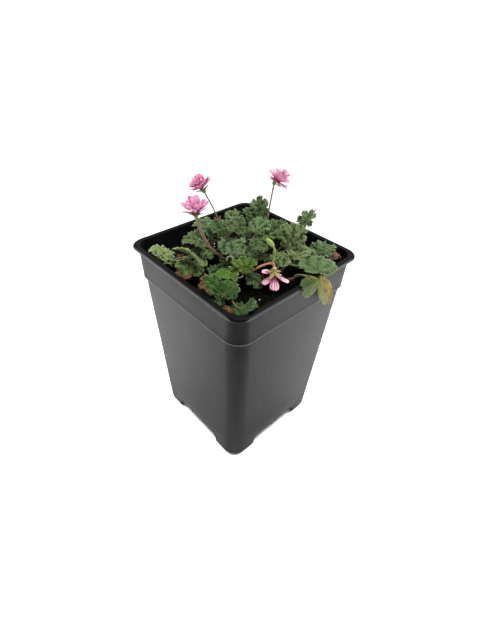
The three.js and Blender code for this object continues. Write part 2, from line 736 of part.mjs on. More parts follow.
// solid to mesh with flat facets and its own paint
function paintedMesh(name, solid, colour, roughness) {
  const { vertProperties, triVerts } = solid.getMesh();
  const geometry = new THREE.BufferGeometry();
  geometry.setAttribute('position', new THREE.BufferAttribute(new Float32Array(vertProperties), 3));
  geometry.setIndex(new THREE.BufferAttribute(new Uint32Array(triVerts), 1));
  const facets = geometry.toNonIndexed();
  facets.computeVertexNormals();
  const material = new THREE.MeshStandardMaterial({ color: colour, roughness, metalness: 0 });
  material.name = `${name}_paint`;
  const mesh = new THREE.Mesh(facets, material);
  mesh.name = name;
  return mesh;
}

// pieces already placed, each grown by the clearance, so that the next ones keep clear of them
const plant = new THREE.Group();
plant.name = 'potted_storksbill';
const keepClear = [];

function addPiece(name, solid, grown, colour, roughness) {
  const clear = largestBody(keepClear.reduce((rest, other) => rest.subtract(other), solid).simplify(SLIVER));
  plant.add(paintedMesh(name, clear, colour, roughness));
  keepClear.push(grown);
}

const holes = [];
BLOOMS.forEach((bloom) => {
  const petals = bloomPetals(bloom);
  addPiece(`${bloom.name}_petals`, petals, petals, PETAL_PINK, 0.55);
  addPiece(`${bloom.name}_stalk`, calyxAndStalk(bloom), calyxAndStalk(bloom, CLEARANCE), STALK_BROWN, 0.6);
  holes.push(keepClear.at(-1));
});
addPiece('nodding_bloom_petals', noddingPetals(), noddingPetals(), PETAL_PINK, 0.55);
addPiece('nodding_bloom_stalk', noddingStalk(), noddingStalk(CLEARANCE), STALK_BROWN, 0.6);
holes.push(keepClear.at(-1));
addPiece('rootstock', rootstockSolid(), rootstockSolid(CLEARANCE), BARK_BROWN, 0.85);
holes.push(keepClear.at(-1));
SINGLE_LEAVES.forEach((entry) => {
  addPiece(entry.name, singleLeafSolid(entry), singleLeafSolid(entry, CLEARANCE), entry.colour, 0.8);
  holes.push(keepClear.at(-1));
});
SHOOTS.forEach((shoot) => {
  addPiece(shoot.name, shootSolid(shoot), shootSolid(shoot, CLEARANCE), shoot.colour, 0.7);
  holes.push(shootStem(shoot, CLEARANCE));
});
plant.add(paintedMesh('soil', soilSolid(holes), COMPOST_BROWN, 0.95));
plant.add(paintedMesh('pot', potSolid(), POT_GREY, 0.5));

export default plant;
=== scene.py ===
import math
import bpy
from mathutils import Euler, Matrix, Vector, noise


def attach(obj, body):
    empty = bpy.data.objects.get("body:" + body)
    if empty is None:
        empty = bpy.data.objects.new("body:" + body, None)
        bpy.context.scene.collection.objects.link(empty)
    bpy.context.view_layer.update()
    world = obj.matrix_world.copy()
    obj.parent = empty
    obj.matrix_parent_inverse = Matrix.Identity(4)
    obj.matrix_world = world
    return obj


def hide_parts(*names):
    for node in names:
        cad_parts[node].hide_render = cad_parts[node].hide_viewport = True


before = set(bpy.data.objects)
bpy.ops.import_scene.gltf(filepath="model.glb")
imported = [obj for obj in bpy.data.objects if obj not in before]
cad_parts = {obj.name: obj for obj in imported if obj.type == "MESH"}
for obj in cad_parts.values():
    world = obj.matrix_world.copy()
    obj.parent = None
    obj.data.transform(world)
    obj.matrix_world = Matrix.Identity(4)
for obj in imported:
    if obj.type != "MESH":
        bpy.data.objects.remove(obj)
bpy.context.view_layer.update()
mm = 0.001
weldReach = 1e-6


# picking, joining and finishing pieces

def dropPick():
    if bpy.context.object and bpy.context.object.mode != "OBJECT":
        bpy.ops.object.mode_set(mode="OBJECT")
    bpy.ops.object.select_all(action="DESELECT")


def pick(things):
    dropPick()
    for thing in things:
        thing.select_set(True)
    bpy.context.view_layer.objects.active = things[0]


def joined(things, name):
    pick(things)
    if len(things) > 1:
        bpy.ops.object.join()
    whole = bpy.context.object
    whole.name = name
    whole.data.name = name
    return whole


def placed(name, data):
    thing = bpy.data.objects.new(name, data)
    bpy.context.scene.collection.objects.link(thing)
    return thing


def copied(template):
    thing = template.copy()
    thing.data = template.data.copy()
    bpy.context.scene.collection.objects.link(thing)
    return thing


def dressed(thing, paint):
    thing.data.materials.clear()
    thing.data.materials.append(paint)
    return thing


def ballAdded(subdivisions, radius, place=(0, 0, 0)):
    dropPick()
    bpy.ops.mesh.primitive_ico_sphere_add(subdivisions=subdivisions, radius=radius, location=place)
    return bpy.context.object


def placeApplied():
    bpy.ops.object.transform_apply(location=True, rotation=True, scale=True)
    return bpy.context.object


def applied(thing):
    pick([thing])
    for step in list(thing.modifiers):
        bpy.ops.object.modifier_apply(modifier=step.name)
    return thing


def meshThing(name, corners, faces):
    mesh = bpy.data.meshes.new(name)
    mesh.from_pydata([tuple(corner) for corner in corners], [], faces)
    mesh.update()
    return placed(name, mesh)


def tidied(thing):
    pick([thing])
    bpy.ops.object.mode_set(mode="EDIT")
    bpy.ops.mesh.select_all(action="SELECT")
    bpy.ops.mesh.remove_doubles(threshold=weldReach)
    bpy.ops.mesh.normals_make_consistent(inside=False)
    bpy.ops.object.mode_set(mode="OBJECT")
    return thing


def smooth(thing, angle=None):
    pick([thing])
    if angle is None:
        bpy.ops.object.shade_smooth()
    else:
        bpy.ops.object.shade_smooth_by_angle(angle=math.radians(angle))
    return thing


def thickened(thing, thick, offset=0):
    body = thing.modifiers.new("depth", "SOLIDIFY")
    body.thickness = thick * mm
    body.offset = offset
    return applied(thing)


def finishPiece(parts, name, node, slot, skin):
    # joins the parts into one piece that stands in for a plant node of the CAD
    piece = smooth(dressed(joined(parts, name), skin))
    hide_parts(node)
    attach(piece, "root")
    return piece


def seededDraw(seed):
    state = [int(seed)]

    def draw():
        state[0] = (state[0] * 1664525 + 1013904223) % 4294967296
        return state[0] / 4294967296
    return draw


def blend(low, high, share):
    return low + (high - low) * share


def blendedTint(low, high, share):
    return tuple(Vector(low).lerp(Vector(high), share))


def between(stops, share):
    for (lowAt, low), (highAt, high) in zip(stops, stops[1:]):
        if share <= highAt:
            part = (share - lowAt) / (highAt - lowAt)
            part = part * part * (3 - 2 * part)
            return blend(low, high, max(0.0, part))
    return stops[-1][1]


def onLine(low, high, lowAt, highAt, at):
    return low * ((highAt - at) / (highAt - lowAt)) + high * ((at - lowAt) / (highAt - lowAt))


def smoothPath(spots, count):
    # a centripetal curve through the spots, cut into even steps
    spots = [Vector(spot) for spot in spots]
    ends = [spots[0] * 2 - spots[1]] + spots + [spots[-1] * 2 - spots[-2]]
    dense = []
    for a, b, c, d in zip(ends, ends[1:], ends[2:], ends[3:]):
        ta = 0.0
        tb = ta + max((b - a).length, 1e-4) ** 0.5
        tc = tb + max((c - b).length, 1e-4) ** 0.5
        td = tc + max((d - c).length, 1e-4) ** 0.5
        for step in range(24):
            t = blend(tb, tc, step / 24)
            bc = onLine(b, c, tb, tc, t)
            abc = onLine(onLine(a, b, ta, tb, t), bc, ta, tc, t)
            bcd = onLine(bc, onLine(c, d, tc, td, t), tb, td, t)
            dense.append(onLine(abc, bcd, tb, tc, t))
    dense.append(spots[-1])
    along = [0.0]
    for low, high in zip(dense, dense[1:]):
        along.append(along[-1] + (high - low).length)
    path = []
    spot = 0
    for step in range(count + 1):
        want = along[-1] * step / count
        while spot < len(along) - 2 and along[spot + 1] < want:
            spot += 1
        span = max(along[spot + 1] - along[spot], 1e-9)
        path.append(dense[spot].lerp(dense[spot + 1], min(1.0, (want - along[spot]) / span)))
    return path


def tube(path, radii, rough=0.0, seed=1):
    # a round bar of millimetre points, from a bevelled curve
    line = bpy.data.curves.new("stalkLine", "CURVE")
    line.dimensions = "3D"
    line.bevel_depth = mm
    line.bevel_resolution = 2
    line.use_fill_caps = True
    spline = line.splines.new("POLY")
    spline.points.add(len(path) - 1)
    stops = [(i / (len(radii) - 1), radius) for i, radius in enumerate(radii)]
    for i, spot in enumerate(path):
        share = i / (len(path) - 1)
        swell = 1 + rough * noise.noise(Vector((i * 0.7, seed * 3.1, 0.5)))
        spline.points[i].co = (*(Vector(spot) * mm), 1)
        spline.points[i].radius = between(stops, share) * swell
    pick([placed("stalkLine", line)])
    bpy.ops.object.convert(target="MESH")
    return tidied(bpy.context.object)


def painted(thing, name, values):
    # one float or colour for every vertex
    kind = "FLOAT_COLOR" if hasattr(values[0], "__len__") else "FLOAT"
    layer = thing.data.attributes.new(name, kind, "POINT")
    if kind == "FLOAT":
        layer.data.foreach_set("value", values)
    else:
        layer.data.foreach_set("color", [part for value in values for part in (*value[:3], 1.0)])


def allOver(thing, name, value):
    painted(thing, name, [value] * len(thing.data.vertices))


def planeNamed(thing, name, fresh=False):
    layers = thing.data.uv_layers
    layer = layers.new(name=name) if fresh or not layers else layers[0]
    layer.name = name
    return layer


def planeLaid(thing, name, spots, fresh=False):
    # one place on the flat pattern for every vertex
    layer = planeNamed(thing, name, fresh)
    for loop in thing.data.loops:
        layer.data[loop.index].uv = spots[loop.vertex_index]


# shader maths as plain expressions

def mathSign(operation, reflected=False):
    def added(self, other):
        return self.math(operation, *((other, self) if reflected else (self, other)))
    return added


class Wire:
    def __init__(self, tree, socket):
        self.tree = tree
        self.socket = socket

    def node(self, kind, settings=None, values=None, out=0):
        made = self.tree.nodes.new(kind)
        for key, value in (settings or {}).items():
            setattr(made, key, value)
        for key, value in (values or {}).items():
            if isinstance(value, Wire):
                self.tree.links.new(value.socket, made.inputs[key])
            else:
                made.inputs[key].default_value = value
        return Wire(self.tree, made.outputs[out])

    def math(self, operation, *values):
        return self.node("ShaderNodeMath", {"operation": operation}, dict(enumerate(values)))

    __add__ = mathSign("ADD")
    __radd__ = mathSign("ADD", True)
    __sub__ = mathSign("SUBTRACT")
    __rsub__ = mathSign("SUBTRACT", True)
    __mul__ = mathSign("MULTIPLY")
    __rmul__ = mathSign("MULTIPLY", True)
    __truediv__ = mathSign("DIVIDE")
    __rtruediv__ = mathSign("DIVIDE", True)

    def __abs__(self):
        return self.math("ABSOLUTE", self)

    def clamped(self):
        return self.node("ShaderNodeClamp", None, {"Value": self})

    def ranged(self, low, high):
        # a soft step from 0 at low to 1 at high
        values = {"Value": self, "From Min": low, "From Max": high}
        return self.node("ShaderNodeMapRange", {"interpolation_type": "SMOOTHSTEP"}, values)

    def mixed(self, first, second):
        # self is the factor between two colours, at the Mix node's colour sockets 6 and 7
        values = {0: self, 6: asColour(first), 7: asColour(second)}
        return self.node("ShaderNodeMix", {"data_type": "RGBA"}, values, out=2)

    def tinted(self, amount):
        # a colour times a number
        return self.node("ShaderNodeVectorMath", {"operation": "SCALE"}, {0: self, "Scale": amount})

    def filtered(self, colour):
        return self.node("ShaderNodeVectorMath", {"operation": "MULTIPLY"}, {0: self, 1: colour})

    def part(self, name):
        return self.node("ShaderNodeSeparateXYZ", None, {0: self}, name)

    def carried(self, name, out="Fac"):
        # what the mesh carries under this name
        return self.node("ShaderNodeAttribute", {"attribute_name": name}, out=out)

    def cells(self, scale, feature="F1"):
        return self.node("ShaderNodeTexVoronoi", {"feature": feature}, {"Vector": self, "Scale": scale})


def asColour(value):
    return value if isinstance(value, Wire) else (*value, 1.0)


def newPaint(name, settings):
    # a material with its constant settings, and the wire of its Object coordinates
    paint = bpy.data.materials.new(name)
    paint.use_nodes = True
    for socket, value in settings.items():
        shaderOf(paint).inputs[socket].default_value = value
    return paint, Wire(paint.node_tree, None).node("ShaderNodeTexCoord", out="Object")


def shaderOf(paint):
    return paint.node_tree.nodes["Principled BSDF"]


def feed(paint, name, wire):
    wire.tree.links.new(wire.socket, shaderOf(paint).inputs[name])


def finishedPaint(paint, colour, roughness, height=None, strength=0.0, distance=0.0):
    feed(paint, "Base Color", colour)
    feed(paint, "Roughness", roughness.clamped())
    if height:
        values = {"Strength": strength, "Distance": distance, "Height": height}
        feed(paint, "Normal", height.node("ShaderNodeBump", None, values))
    return paint


def speckle(place, scale, detail=3.0, rough=0.55, stretch=(1, 1, 1)):
    spot = place.node("ShaderNodeMapping", None, {"Vector": place, "Scale": stretch})
    values = {"Vector": spot, "Scale": scale, "Detail": detail, "Roughness": rough}
    return place.node("ShaderNodeTexNoise", None, values)


# the pot: satin dark grey moulded plastic

potLook = {
    "step": 120.0, "wall": 1.25, "cornerSteps": 14,
    # half width and corner radius at each height
    "bodyFoot": (41.15, 10.0), "bodyTop": (50.7, 11.7),
    "bandFoot": (51.65, 11.8), "bandTop": (52.25, 9.6), "rim": (55.0, 10.0),
    # height and inset of the rounded foot, heights of the plain wall, and the step's added half width,
    # added corner radius and height
    "footRows": ((0.0, 1.9), (0.15, 1.2), (0.6, 0.55), (1.3, 0.15), (2.4, 0.0)),
    "wallRows": (20, 40, 60, 80, 100, 118.8),
    "stepRows": ((0, 0, 119.4), (0.1, 0, 119.62), (0.75, 0, 119.72), (1.02, 0, 119.9), (1.08, 0, 120.1),
                 (1.0, 0, 120.35), (0.95, -0.1, 120.7)),
    "bandShares": (0.25, 0.5, 0.75, 0.9, 0.97), "bandHeights": (120.3, 140.5),
    "rollRadius": 1.15, "rollHalfHeight": 1.25, "rollHeight": 141.75, "rollTurns": range(-80, 91, 17),
    # the rim's inner edge: what is added to the rim's half width, the corner radius and the height
    "lipRows": ((-3.2, 9.2, 143.0), (-3.7, 8.7, 142.85), (-4.0, 8.4, 142.5)),
    "bandInside": (50.9, 8.6, 138.0), "stepInside": 121.4, "innerWallRows": (119.6, 90.0, 60.0, 30.0, 1.3),
    "hollowTop": 145.0,
    "channelHalf": 20.0, "channelRoof": 8.8, "mouthFlare": 2.6, "mouthDepth": 3.0, "cutReach": 60.0,
    "drainRadius": 3.5, "drainReach": 26.0, "drainDepth": 9.0, "drainMiddle": 9.5,
    "softEdge": 0.35, "creaseAngle": 50, "smoothAngle": 32,
    # place and size of the mould nibs
    "nibs": ((41.9, -3.5, 8.3, 0.55), (41.9, 1.5, 8.5, 0.35), (-6.0, -41.9, 8.4, 0.4)),
    # the pale line along the step's edge is a painted highlight
    "dark": (0.0058, 0.0062, 0.0066), "worn": (0.02, 0.021, 0.021), "stepHighlight": (0.16, 0.16, 0.155),
    "dirt": (0.045, 0.037, 0.025),
    # painted shade on the rim's top, near black, and a painted highlight on its rolled outer edge
    "lipTopShade": (0.001, 0.001, 0.001), "roll": (0.066, 0.067, 0.067),
}


def squareRing(half, corner, z):
    ring = []
    steps = potLook["cornerSteps"]
    for quarter in range(4):
        hub = (quarter + 0.5) * math.pi / 2
        reach = (half - corner) * math.sqrt(2)
        for step in range(steps + 1):
            turn = (quarter + step / steps) * math.pi / 2
            ring.append(Vector((reach * math.cos(hub) + corner * math.cos(turn),
                                reach * math.sin(hub) + corner * math.sin(turn), z)) * mm)
    return ring


def stackRings(name, rings):
    # a closed solid from rings of equal length, the first and last one capped
    count = len(rings[0])
    corners = [corner for ring in rings for corner in ring]
    faces = []
    for low in range(0, len(corners) - count, count):
        for i in range(count):
            j = (i + 1) % count
            faces.append((low + i, low + j, low + count + j, low + count + i))
    faces.append(tuple(reversed(range(count))))
    faces.append(tuple(range(len(corners) - count, len(corners))))
    return meshThing(name, corners, faces)


def bodySize(z, inset=0.0):
    share = z / potLook["step"]
    half = blend(potLook["bodyFoot"][0], potLook["bodyTop"][0], share)
    corner = blend(potLook["bodyFoot"][1], potLook["bodyTop"][1], share)
    return half - inset, max(corner - inset, 1.0)


def channelCutter(alongX, grow):
    # a bar for the crossing channel, wider at its two mouths
    look = potLook
    half = look["channelHalf"] + grow
    roof = look["channelRoof"] + grow
    reach, flare = look["cutReach"], look["mouthFlare"] * 4
    mouth = look["bodyFoot"][0] - look["mouthDepth"]
    rings = []
    for way, wide in ((-reach, half + flare), (-mouth, half), (mouth, half), (reach, half + flare)):
        outline = [(-wide - 2.2, -1.0), (wide + 2.2, -1.0), (wide + 0.3, 1.8), (wide - 0.4, roof - 2.4),
                   (wide - 2.4, roof), (-wide + 2.4, roof), (-wide + 0.4, roof - 2.4), (-wide - 0.3, 1.8)]
        rings.append([Vector((way, side, z) if alongX else (side, way, z)) * mm for side, z in outline])
    return tidied(stackRings("channelCutter", rings))


def cutAway(thing, cutters):
    for cutter in cutters:
        step = thing.modifiers.new("cut", "BOOLEAN")
        step.operation = "DIFFERENCE"
        step.object = cutter
        step.solver = "EXACT"
    applied(thing)
    for cutter in cutters:
        bpy.data.objects.remove(cutter)
    return thing


def makePot():
    look = potLook
    wall, radius = look["wall"], look["rollRadius"]
    rows = [(*bodySize(z, inset), z) for z, inset in look["footRows"]]
    rows += [(*bodySize(z), z) for z in look["wallRows"]]
    half, corner = bodySize(look["stepRows"][0][2])
    rows += [(half + wider, corner + rounder, z) for wider, rounder, z in look["stepRows"]]
    bandFoot, bandTop = look["bandFoot"], look["bandTop"]
    for share in look["bandShares"]:
        rows.append((blend(bandFoot[0], bandTop[0], share), blend(bandFoot[1], bandTop[1], share),
                     blend(*look["bandHeights"], share)))
    rimHalf, rimCorner = look["rim"]
    for turn in look["rollTurns"]:
        angle = math.radians(turn)
        rows.append((rimHalf - radius + radius * math.cos(angle), rimCorner - 0.3,
                     look["rollHeight"] + look["rollHalfHeight"] * math.sin(angle)))
    shell = stackRings("pot_shell", [squareRing(*row) for row in rows])
    innerRows = [(rimHalf + wider, corner, z) for wider, corner, z in look["lipRows"]]
    innerRows += [look["bandInside"], (bandFoot[0] - wall, bandFoot[1] - wall, look["stepInside"])]
    innerRows += [(*bodySize(z, wall), z) for z in look["innerWallRows"]]
    innerRows.insert(0, (*innerRows[0][:2], look["hollowTop"]))
    hollow = stackRings("potHollow", [squareRing(*row) for row in reversed(innerRows)])
    cutAway(tidied(hollow), [channelCutter(True, wall), channelCutter(False, wall)])
    drains = []
    reach = look["drainReach"]
    for x, y in ((reach, 0), (-reach, 0), (0, reach), (0, -reach), (0, 0)):
        dropPick()
        bpy.ops.mesh.primitive_cylinder_add(
            vertices=28, radius=look["drainRadius"] * mm, depth=look["drainDepth"] * mm,
            location=(x * mm, y * mm, look["drainMiddle"] * mm))
        drains.append(placeApplied())
    cutAway(tidied(shell), [channelCutter(True, 0.0), channelCutter(False, 0.0), hollow, *drains])
    bevel = shell.modifiers.new("softEdges", "BEVEL")
    bevel.width = look["softEdge"] * mm
    bevel.segments = 2
    bevel.limit_method = "ANGLE"
    bevel.angle_limit = math.radians(look["creaseAngle"])
    applied(shell)
    nibs = []
    for x, y, z, size in look["nibs"]:
        ballAdded(2, size * mm, (x * mm, y * mm, z * mm))
        bpy.ops.transform.resize(value=(0.8, 1.4, 1.1))
        nibs.append(placeApplied())
    pot = dressed(joined([shell, *nibs], "pot_shell"), potPaint())
    return smooth(tidied(pot), look["smoothAngle"])


def potPaint():
    look = potLook
    paint, place = newPaint("pot_plastic_paint", {"Specular IOR Level": 0.051})
    low = place.part("Z") * 1000.0
    x, y = abs(place.part("X") * 1000.0), abs(place.part("Y") * 1000.0)
    cloud = speckle(place, 26.0, 4.0)
    streak = speckle(place, 190.0, 2.0, stretch=(1, 1, 0.12))
    scratch = speckle(place, 900.0, 1.0, stretch=(1, 1, 0.03)).ranged(0.74, 0.8)
    edge = abs(low - (look["step"] + 0.05)).ranged(0.5, 0.15)
    lip = low.ranged(141.8, 142.6)
    roll = x.math("MAXIMUM", x, y).ranged(54.2, 54.85) * low.ranged(139.8, 140.6)
    foot = low.ranged(12.0, 0.0)
    dirt = speckle(place, 70.0, 5.0).ranged(0.5, 0.72) * low.ranged(55.0, 5.0) * (x + y).ranged(66.0, 84.0)
    colour = cloud.ranged(0.3, 0.7).mixed(look["dark"], [part * 1.25 for part in look["dark"]])
    colour = (streak.ranged(0.35, 0.75) * 0.35).mixed(colour, look["worn"])
    colour = (scratch * 0.16 + foot * 0.12).mixed(colour, look["worn"])
    # a painted highlight: the pale line along the step's edge
    colour = (edge * 0.8).mixed(colour, look["stepHighlight"])
    # painted shade: the rim's top near black; painted highlight: its rolled outer edge lighter
    colour = lip.mixed(colour, look["lipTopShade"])
    colour = (roll * 0.9).mixed(colour, look["roll"])
    colour = (dirt * 0.35).mixed(colour, look["dirt"])
    roughness = 0.4 + cloud * 0.1 + dirt * 0.2 + streak * 0.08
    grain = speckle(place, 1500.0, 2.0)
    return finishedPaint(paint, colour, roughness, grain * 0.4 + streak * 0.6, 0.12, 0.0004)


pot = makePot()
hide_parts("pot")
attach(pot, "root")
print("stage: pot", len(pot.data.polygons))


# the compost: a crumbly top over the carried block, loose crumbs, grit and fibres

soilLook = {
    "edge": 127.0, "mound": 6.0, "half": 49.7, "corner": 10.0, "strewn": 48.0, "grid": 150, "thick": 2.2,
    "crumbs": {"count": 2600, "seed": 21, "sizes": (0.3, 1.7), "flats": (0.5, 0.95), "lift": 0.25},
    "grit": {"count": 26, "seed": 33, "sizes": (0.4, 0.95), "flats": (0.6, 0.9), "lift": 0.5},
    "fibres": {"count": 130, "seed": 45, "sizes": (0.9, 2.6), "flats": (0.14, 0.22), "lift": 0.3},
    "dark": (0.0022, 0.0018, 0.0015), "brown": (0.007, 0.005, 0.0036),
    "fibreDark": (0.01, 0.006, 0.004), "fibreBrown": (0.04, 0.024, 0.013),
    "gritWhite": (0.62, 0.6, 0.55), "gritShade": (0.36, 0.33, 0.28),
}


def soilHeight(x, y):
    reach = max(abs(x), abs(y)) / 50
    return soilLook["edge"] + soilLook["mound"] * max(0.0, 1 - reach * reach)


def soilTop(x, y):
    lump = noise.fractal(Vector((x * 0.13, y * 0.13, 3.0)), 1.0, 2.0, 3)
    fine = noise.fractal(Vector((x * 0.55, y * 0.55, 9.0)), 0.8, 2.1, 4)
    wall = max(abs(x), abs(y))
    return soilHeight(x, y) + 0.9 + 0.9 * lump + 0.75 * fine - 0.9 * max(0.0, (wall - 46) / 4)


def inCorner(x, y):
    # pulls a point of the square into its rounded corner
    half, corner = soilLook["half"], soilLook["corner"]
    over = Vector((abs(x) - (half - corner), abs(y) - (half - corner)))
    if over.x <= 0 or over.y <= 0 or over.length <= corner:
        return x, y
    over = over.normalized() * corner
    return (math.copysign(half - corner + over.x, x), math.copysign(half - corner + over.y, y))


def makeSoilTop():
    dropPick()
    count, side = soilLook["grid"], 2 * soilLook["half"] * mm
    bpy.ops.mesh.primitive_grid_add(x_subdivisions=count, y_subdivisions=count, size=side)
    top = bpy.context.object
    top.name = "compost_top"
    for corner in top.data.vertices:
        x, y = inCorner(corner.co.x / mm, corner.co.y / mm)
        corner.co = Vector((x, y, soilTop(x, y))) * mm
    thickened(top, soilLook["thick"], -1)
    return smooth(dressed(top, soilPaint("compost_paint")))


def soilPaint(name, dark="dark", light="brown"):
    paint, place = newPaint(name, {"Specular IOR Level": 0.04})
    lumps = speckle(place, 260.0, 5.0, 0.65)
    tint = speckle(place, 900.0)
    share = lumps.ranged(0.4, 0.7) * tint.ranged(0.3, 0.75)
    colour = share.mixed(soilLook[dark], soilLook[light])
    return finishedPaint(paint, colour, 0.62 + tint * 0.3, place.cells(900.0) * 0.6 + lumps, 0.9, 0.0009)


def gritPaint():
    paint, place = newPaint("grit_paint", {"Specular IOR Level": 0.4})
    cloud = speckle(place, 1400.0)
    colour = cloud.ranged(0.35, 0.7).mixed(soilLook["gritWhite"], soilLook["gritShade"])
    return finishedPaint(paint, colour, 0.55 + cloud * 0.3, cloud, 0.6, 0.0004)


def scatter(kind, template, paint):
    # many small copies of one low shape, as one mesh
    look, reach = soilLook[kind], soilLook["strewn"]
    draw = seededDraw(look["seed"])
    corners = [corner.co.copy() for corner in template.data.vertices]
    faces = [tuple(face.vertices) for face in template.data.polygons]
    allCorners, allFaces = [], []
    for i in range(look["count"]):
        x, y = inCorner(blend(-reach, reach, draw()), blend(-reach, reach, draw()))
        size = blend(*look["sizes"], draw() ** 2.2)
        turn, tip = draw() * math.tau, (draw() - 0.5) * 1.6
        squash = blend(*look["flats"], draw())
        stretch = blend(0.7, 1.5, draw())
        base = len(allCorners)
        z = soilTop(x, y) + look["lift"] * size
        for corner in corners:
            spot = Vector((corner.x * stretch, corner.y, corner.z * squash)) * size
            wobble = noise.noise(spot * (1.5 / size) + Vector((i * 1.7, 0, 0))) * 0.35
            spot *= 1 + wobble
            spot.rotate(Euler((tip, 0.6 * tip, turn)))
            allCorners.append((Vector((x, y, z)) + spot) * mm)
        allFaces += [tuple(base + v for v in face) for face in faces]
    bpy.data.objects.remove(template)
    return dressed(meshThing("compost_" + kind, allCorners, allFaces), paint)


compostTop = makeSoilTop()
crumbs = scatter("crumbs", ballAdded(1, 1), soilPaint("crumb_paint"))
grit = scatter("grit", ballAdded(2, 1), gritPaint())
fibres = scatter("fibres", ballAdded(1, 1), soilPaint("fibre_paint", "fibreDark", "fibreBrown"))
for piece in (compostTop, crumbs, grit, fibres):
    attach(piece, "root")
dressed(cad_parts["soil"], soilPaint("soil_block_paint"))
print("stage: compost", len(compostTop.data.polygons), len(crumbs.data.polygons))


# the leaves: every blade of a shoot from one flat pattern, bent to its own place

leafLook = {
    # the hub's place along the blade, its ribs, degrees from a rib to its lobe's side and from there to the
    # notch, and degrees from tooth to tooth
    "hub": 0.48, "ribs": 7, "lobeHalfTurn": 14.0, "notchTurn": 11.72, "toothTurn": 9.6,
    # where blades bend down over the rim, and the side in mm of the square that a blade is laid flat on
    "drapeStart": 54.2, "drapeRadius": 1.6, "lip": 143.0, "planeSide": 80.0,
    # radians between side veins
    "veinTurn": 0.6,
    "whole": {"lobes": (1.04, 1.03, 1.01, 0.99), "notches": (0.88, 0.87, 0.86, 0.72)},
    "round": {"lobes": (1.06, 1.04, 1.01, 0.99), "notches": (0.78, 0.76, 0.76, 0.62)},
    "cut": {"lobes": (1.1, 1.0, 0.95, 0.9), "notches": (0.6, 0.56, 0.58, 0.6)},
    "stalkRadii": (0.8, 0.62, 0.52, 0.42, 0.2), "thick": 0.3,
    # deep is a darker green for some blades, made darker still as painted shade between the leaves
    "grey": (0.062, 0.094, 0.033), "deep": (0.033, 0.06, 0.016), "bright": (0.037, 0.071, 0.0015),
    "pale": (0.067, 0.087, 0.031), "yellow": (0.125, 0.079, 0.006), "lime": (0.018, 0.041, 0.0012),
    "sage": (0.042, 0.063, 0.019), "dusk": (0.045, 0.07, 0.025), "shade": (0.028, 0.04, 0.008),
    "youngTip": (0.15, 0.16, 0.09), "brown": (0.05, 0.032, 0.018), "dead": (0.022, 0.014, 0.009),
    "olive": (0.047, 0.066, 0.014), "turning": (0.055, 0.068, 0.0035), "fresh": (0.1, 0.128, 0.043),
    "front": (0.0185, 0.043, 0.005), "stalkGreen": (0.085, 0.105, 0.038), "stalkRed": (0.095, 0.036, 0.026),
    # the pale fleck colour stands partly for the down and partly for painted highlight
    "rimGlintAndDown": (0.27, 0.31, 0.2), "dryDark": (0.05, 0.023, 0.012), "dryLight": (0.13, 0.062, 0.026),
}


def bladeLength(leaf):
    return (Vector(leaf["to"]) - Vector(leaf["from"])).length


def bladeAxes(leaf):
    along = (Vector(leaf["to"]) - Vector(leaf["from"])).normalized()
    level = Vector((0, 0, 1)).cross(along).normalized()
    up = along.cross(level)
    turn = math.radians(leaf.get("turn", 0))
    across = level * math.cos(turn) + up * math.sin(turn)
    return along, across, along.cross(across)


def crinkle(leaf, u, v):
    # the puckers between the veins of a blade, in mm
    length = bladeLength(leaf)
    x, y = (u - 0.04) * length, v * leaf["width"] / 2
    seed = leaf["seed"]
    veins = math.cos(math.atan2(y, x) * math.tau / leafLook["veinTurn"]) * min(1, math.hypot(x, y) / 4)
    quilt = noise.noise(Vector((x * 0.42, y * 0.42, seed)))
    small = noise.noise(Vector((x * 1.0, y * 1.0, seed + 7)))
    return 0.8 * quilt + 0.6 * small - 0.25 * veins


def bladeSpot(leaf, axes, u, v, fine=0.0):
    along, across, out = axes
    length = bladeLength(leaf)
    hub = leafLook["hub"]
    turn = math.atan2(v, 2 * (u - hub))
    reach = v * v + 4 * (u - hub) ** 2
    lift = leaf.get("fold", 0.1) * abs(v) ** 1.4 * leaf["width"] / 2
    lift += leaf.get("arch", 0.1) * length * math.sin(math.pi * min(max(u, 0), 1))
    lift -= leaf.get("ribs", 0.45) * reach * math.cos(leafLook["ribs"] * turn) * (1 - 0.4 * fine)
    lift += leaf.get("sway", 0.8) * reach * math.sin(3 * turn + leaf.get("phase", 0))
    if fine:
        ruffle = math.sin(turn * 10 + leaf["seed"]) * 0.5 + math.sin(turn * 17 + leaf["seed"] * 2.3) * 0.4
        lift += fine * leaf.get("calm", 1.0) * (crinkle(leaf, u, v) + ruffle * min(1.2, reach) ** 2)
    spot = Vector(leaf["from"]) + along * (u * length) + across * (v * leaf["width"] / 2) + out * lift
    return draped(spot)


def draped(spot):
    past = spot.x - leafLook["drapeStart"]
    if past <= 0:
        return spot
    # the sheet turns down round the rim's roll, and hangs from there
    bendRadius = leafLook["drapeRadius"]
    bend = min(past / bendRadius, math.pi / 2)
    below = max(0.0, past - bendRadius * math.pi / 2)
    radius = spot.z - leafLook["lip"]
    spot.x = leafLook["drapeStart"] + radius * math.sin(bend)
    spot.z = leafLook["lip"] + radius * math.cos(bend) - below
    return spot


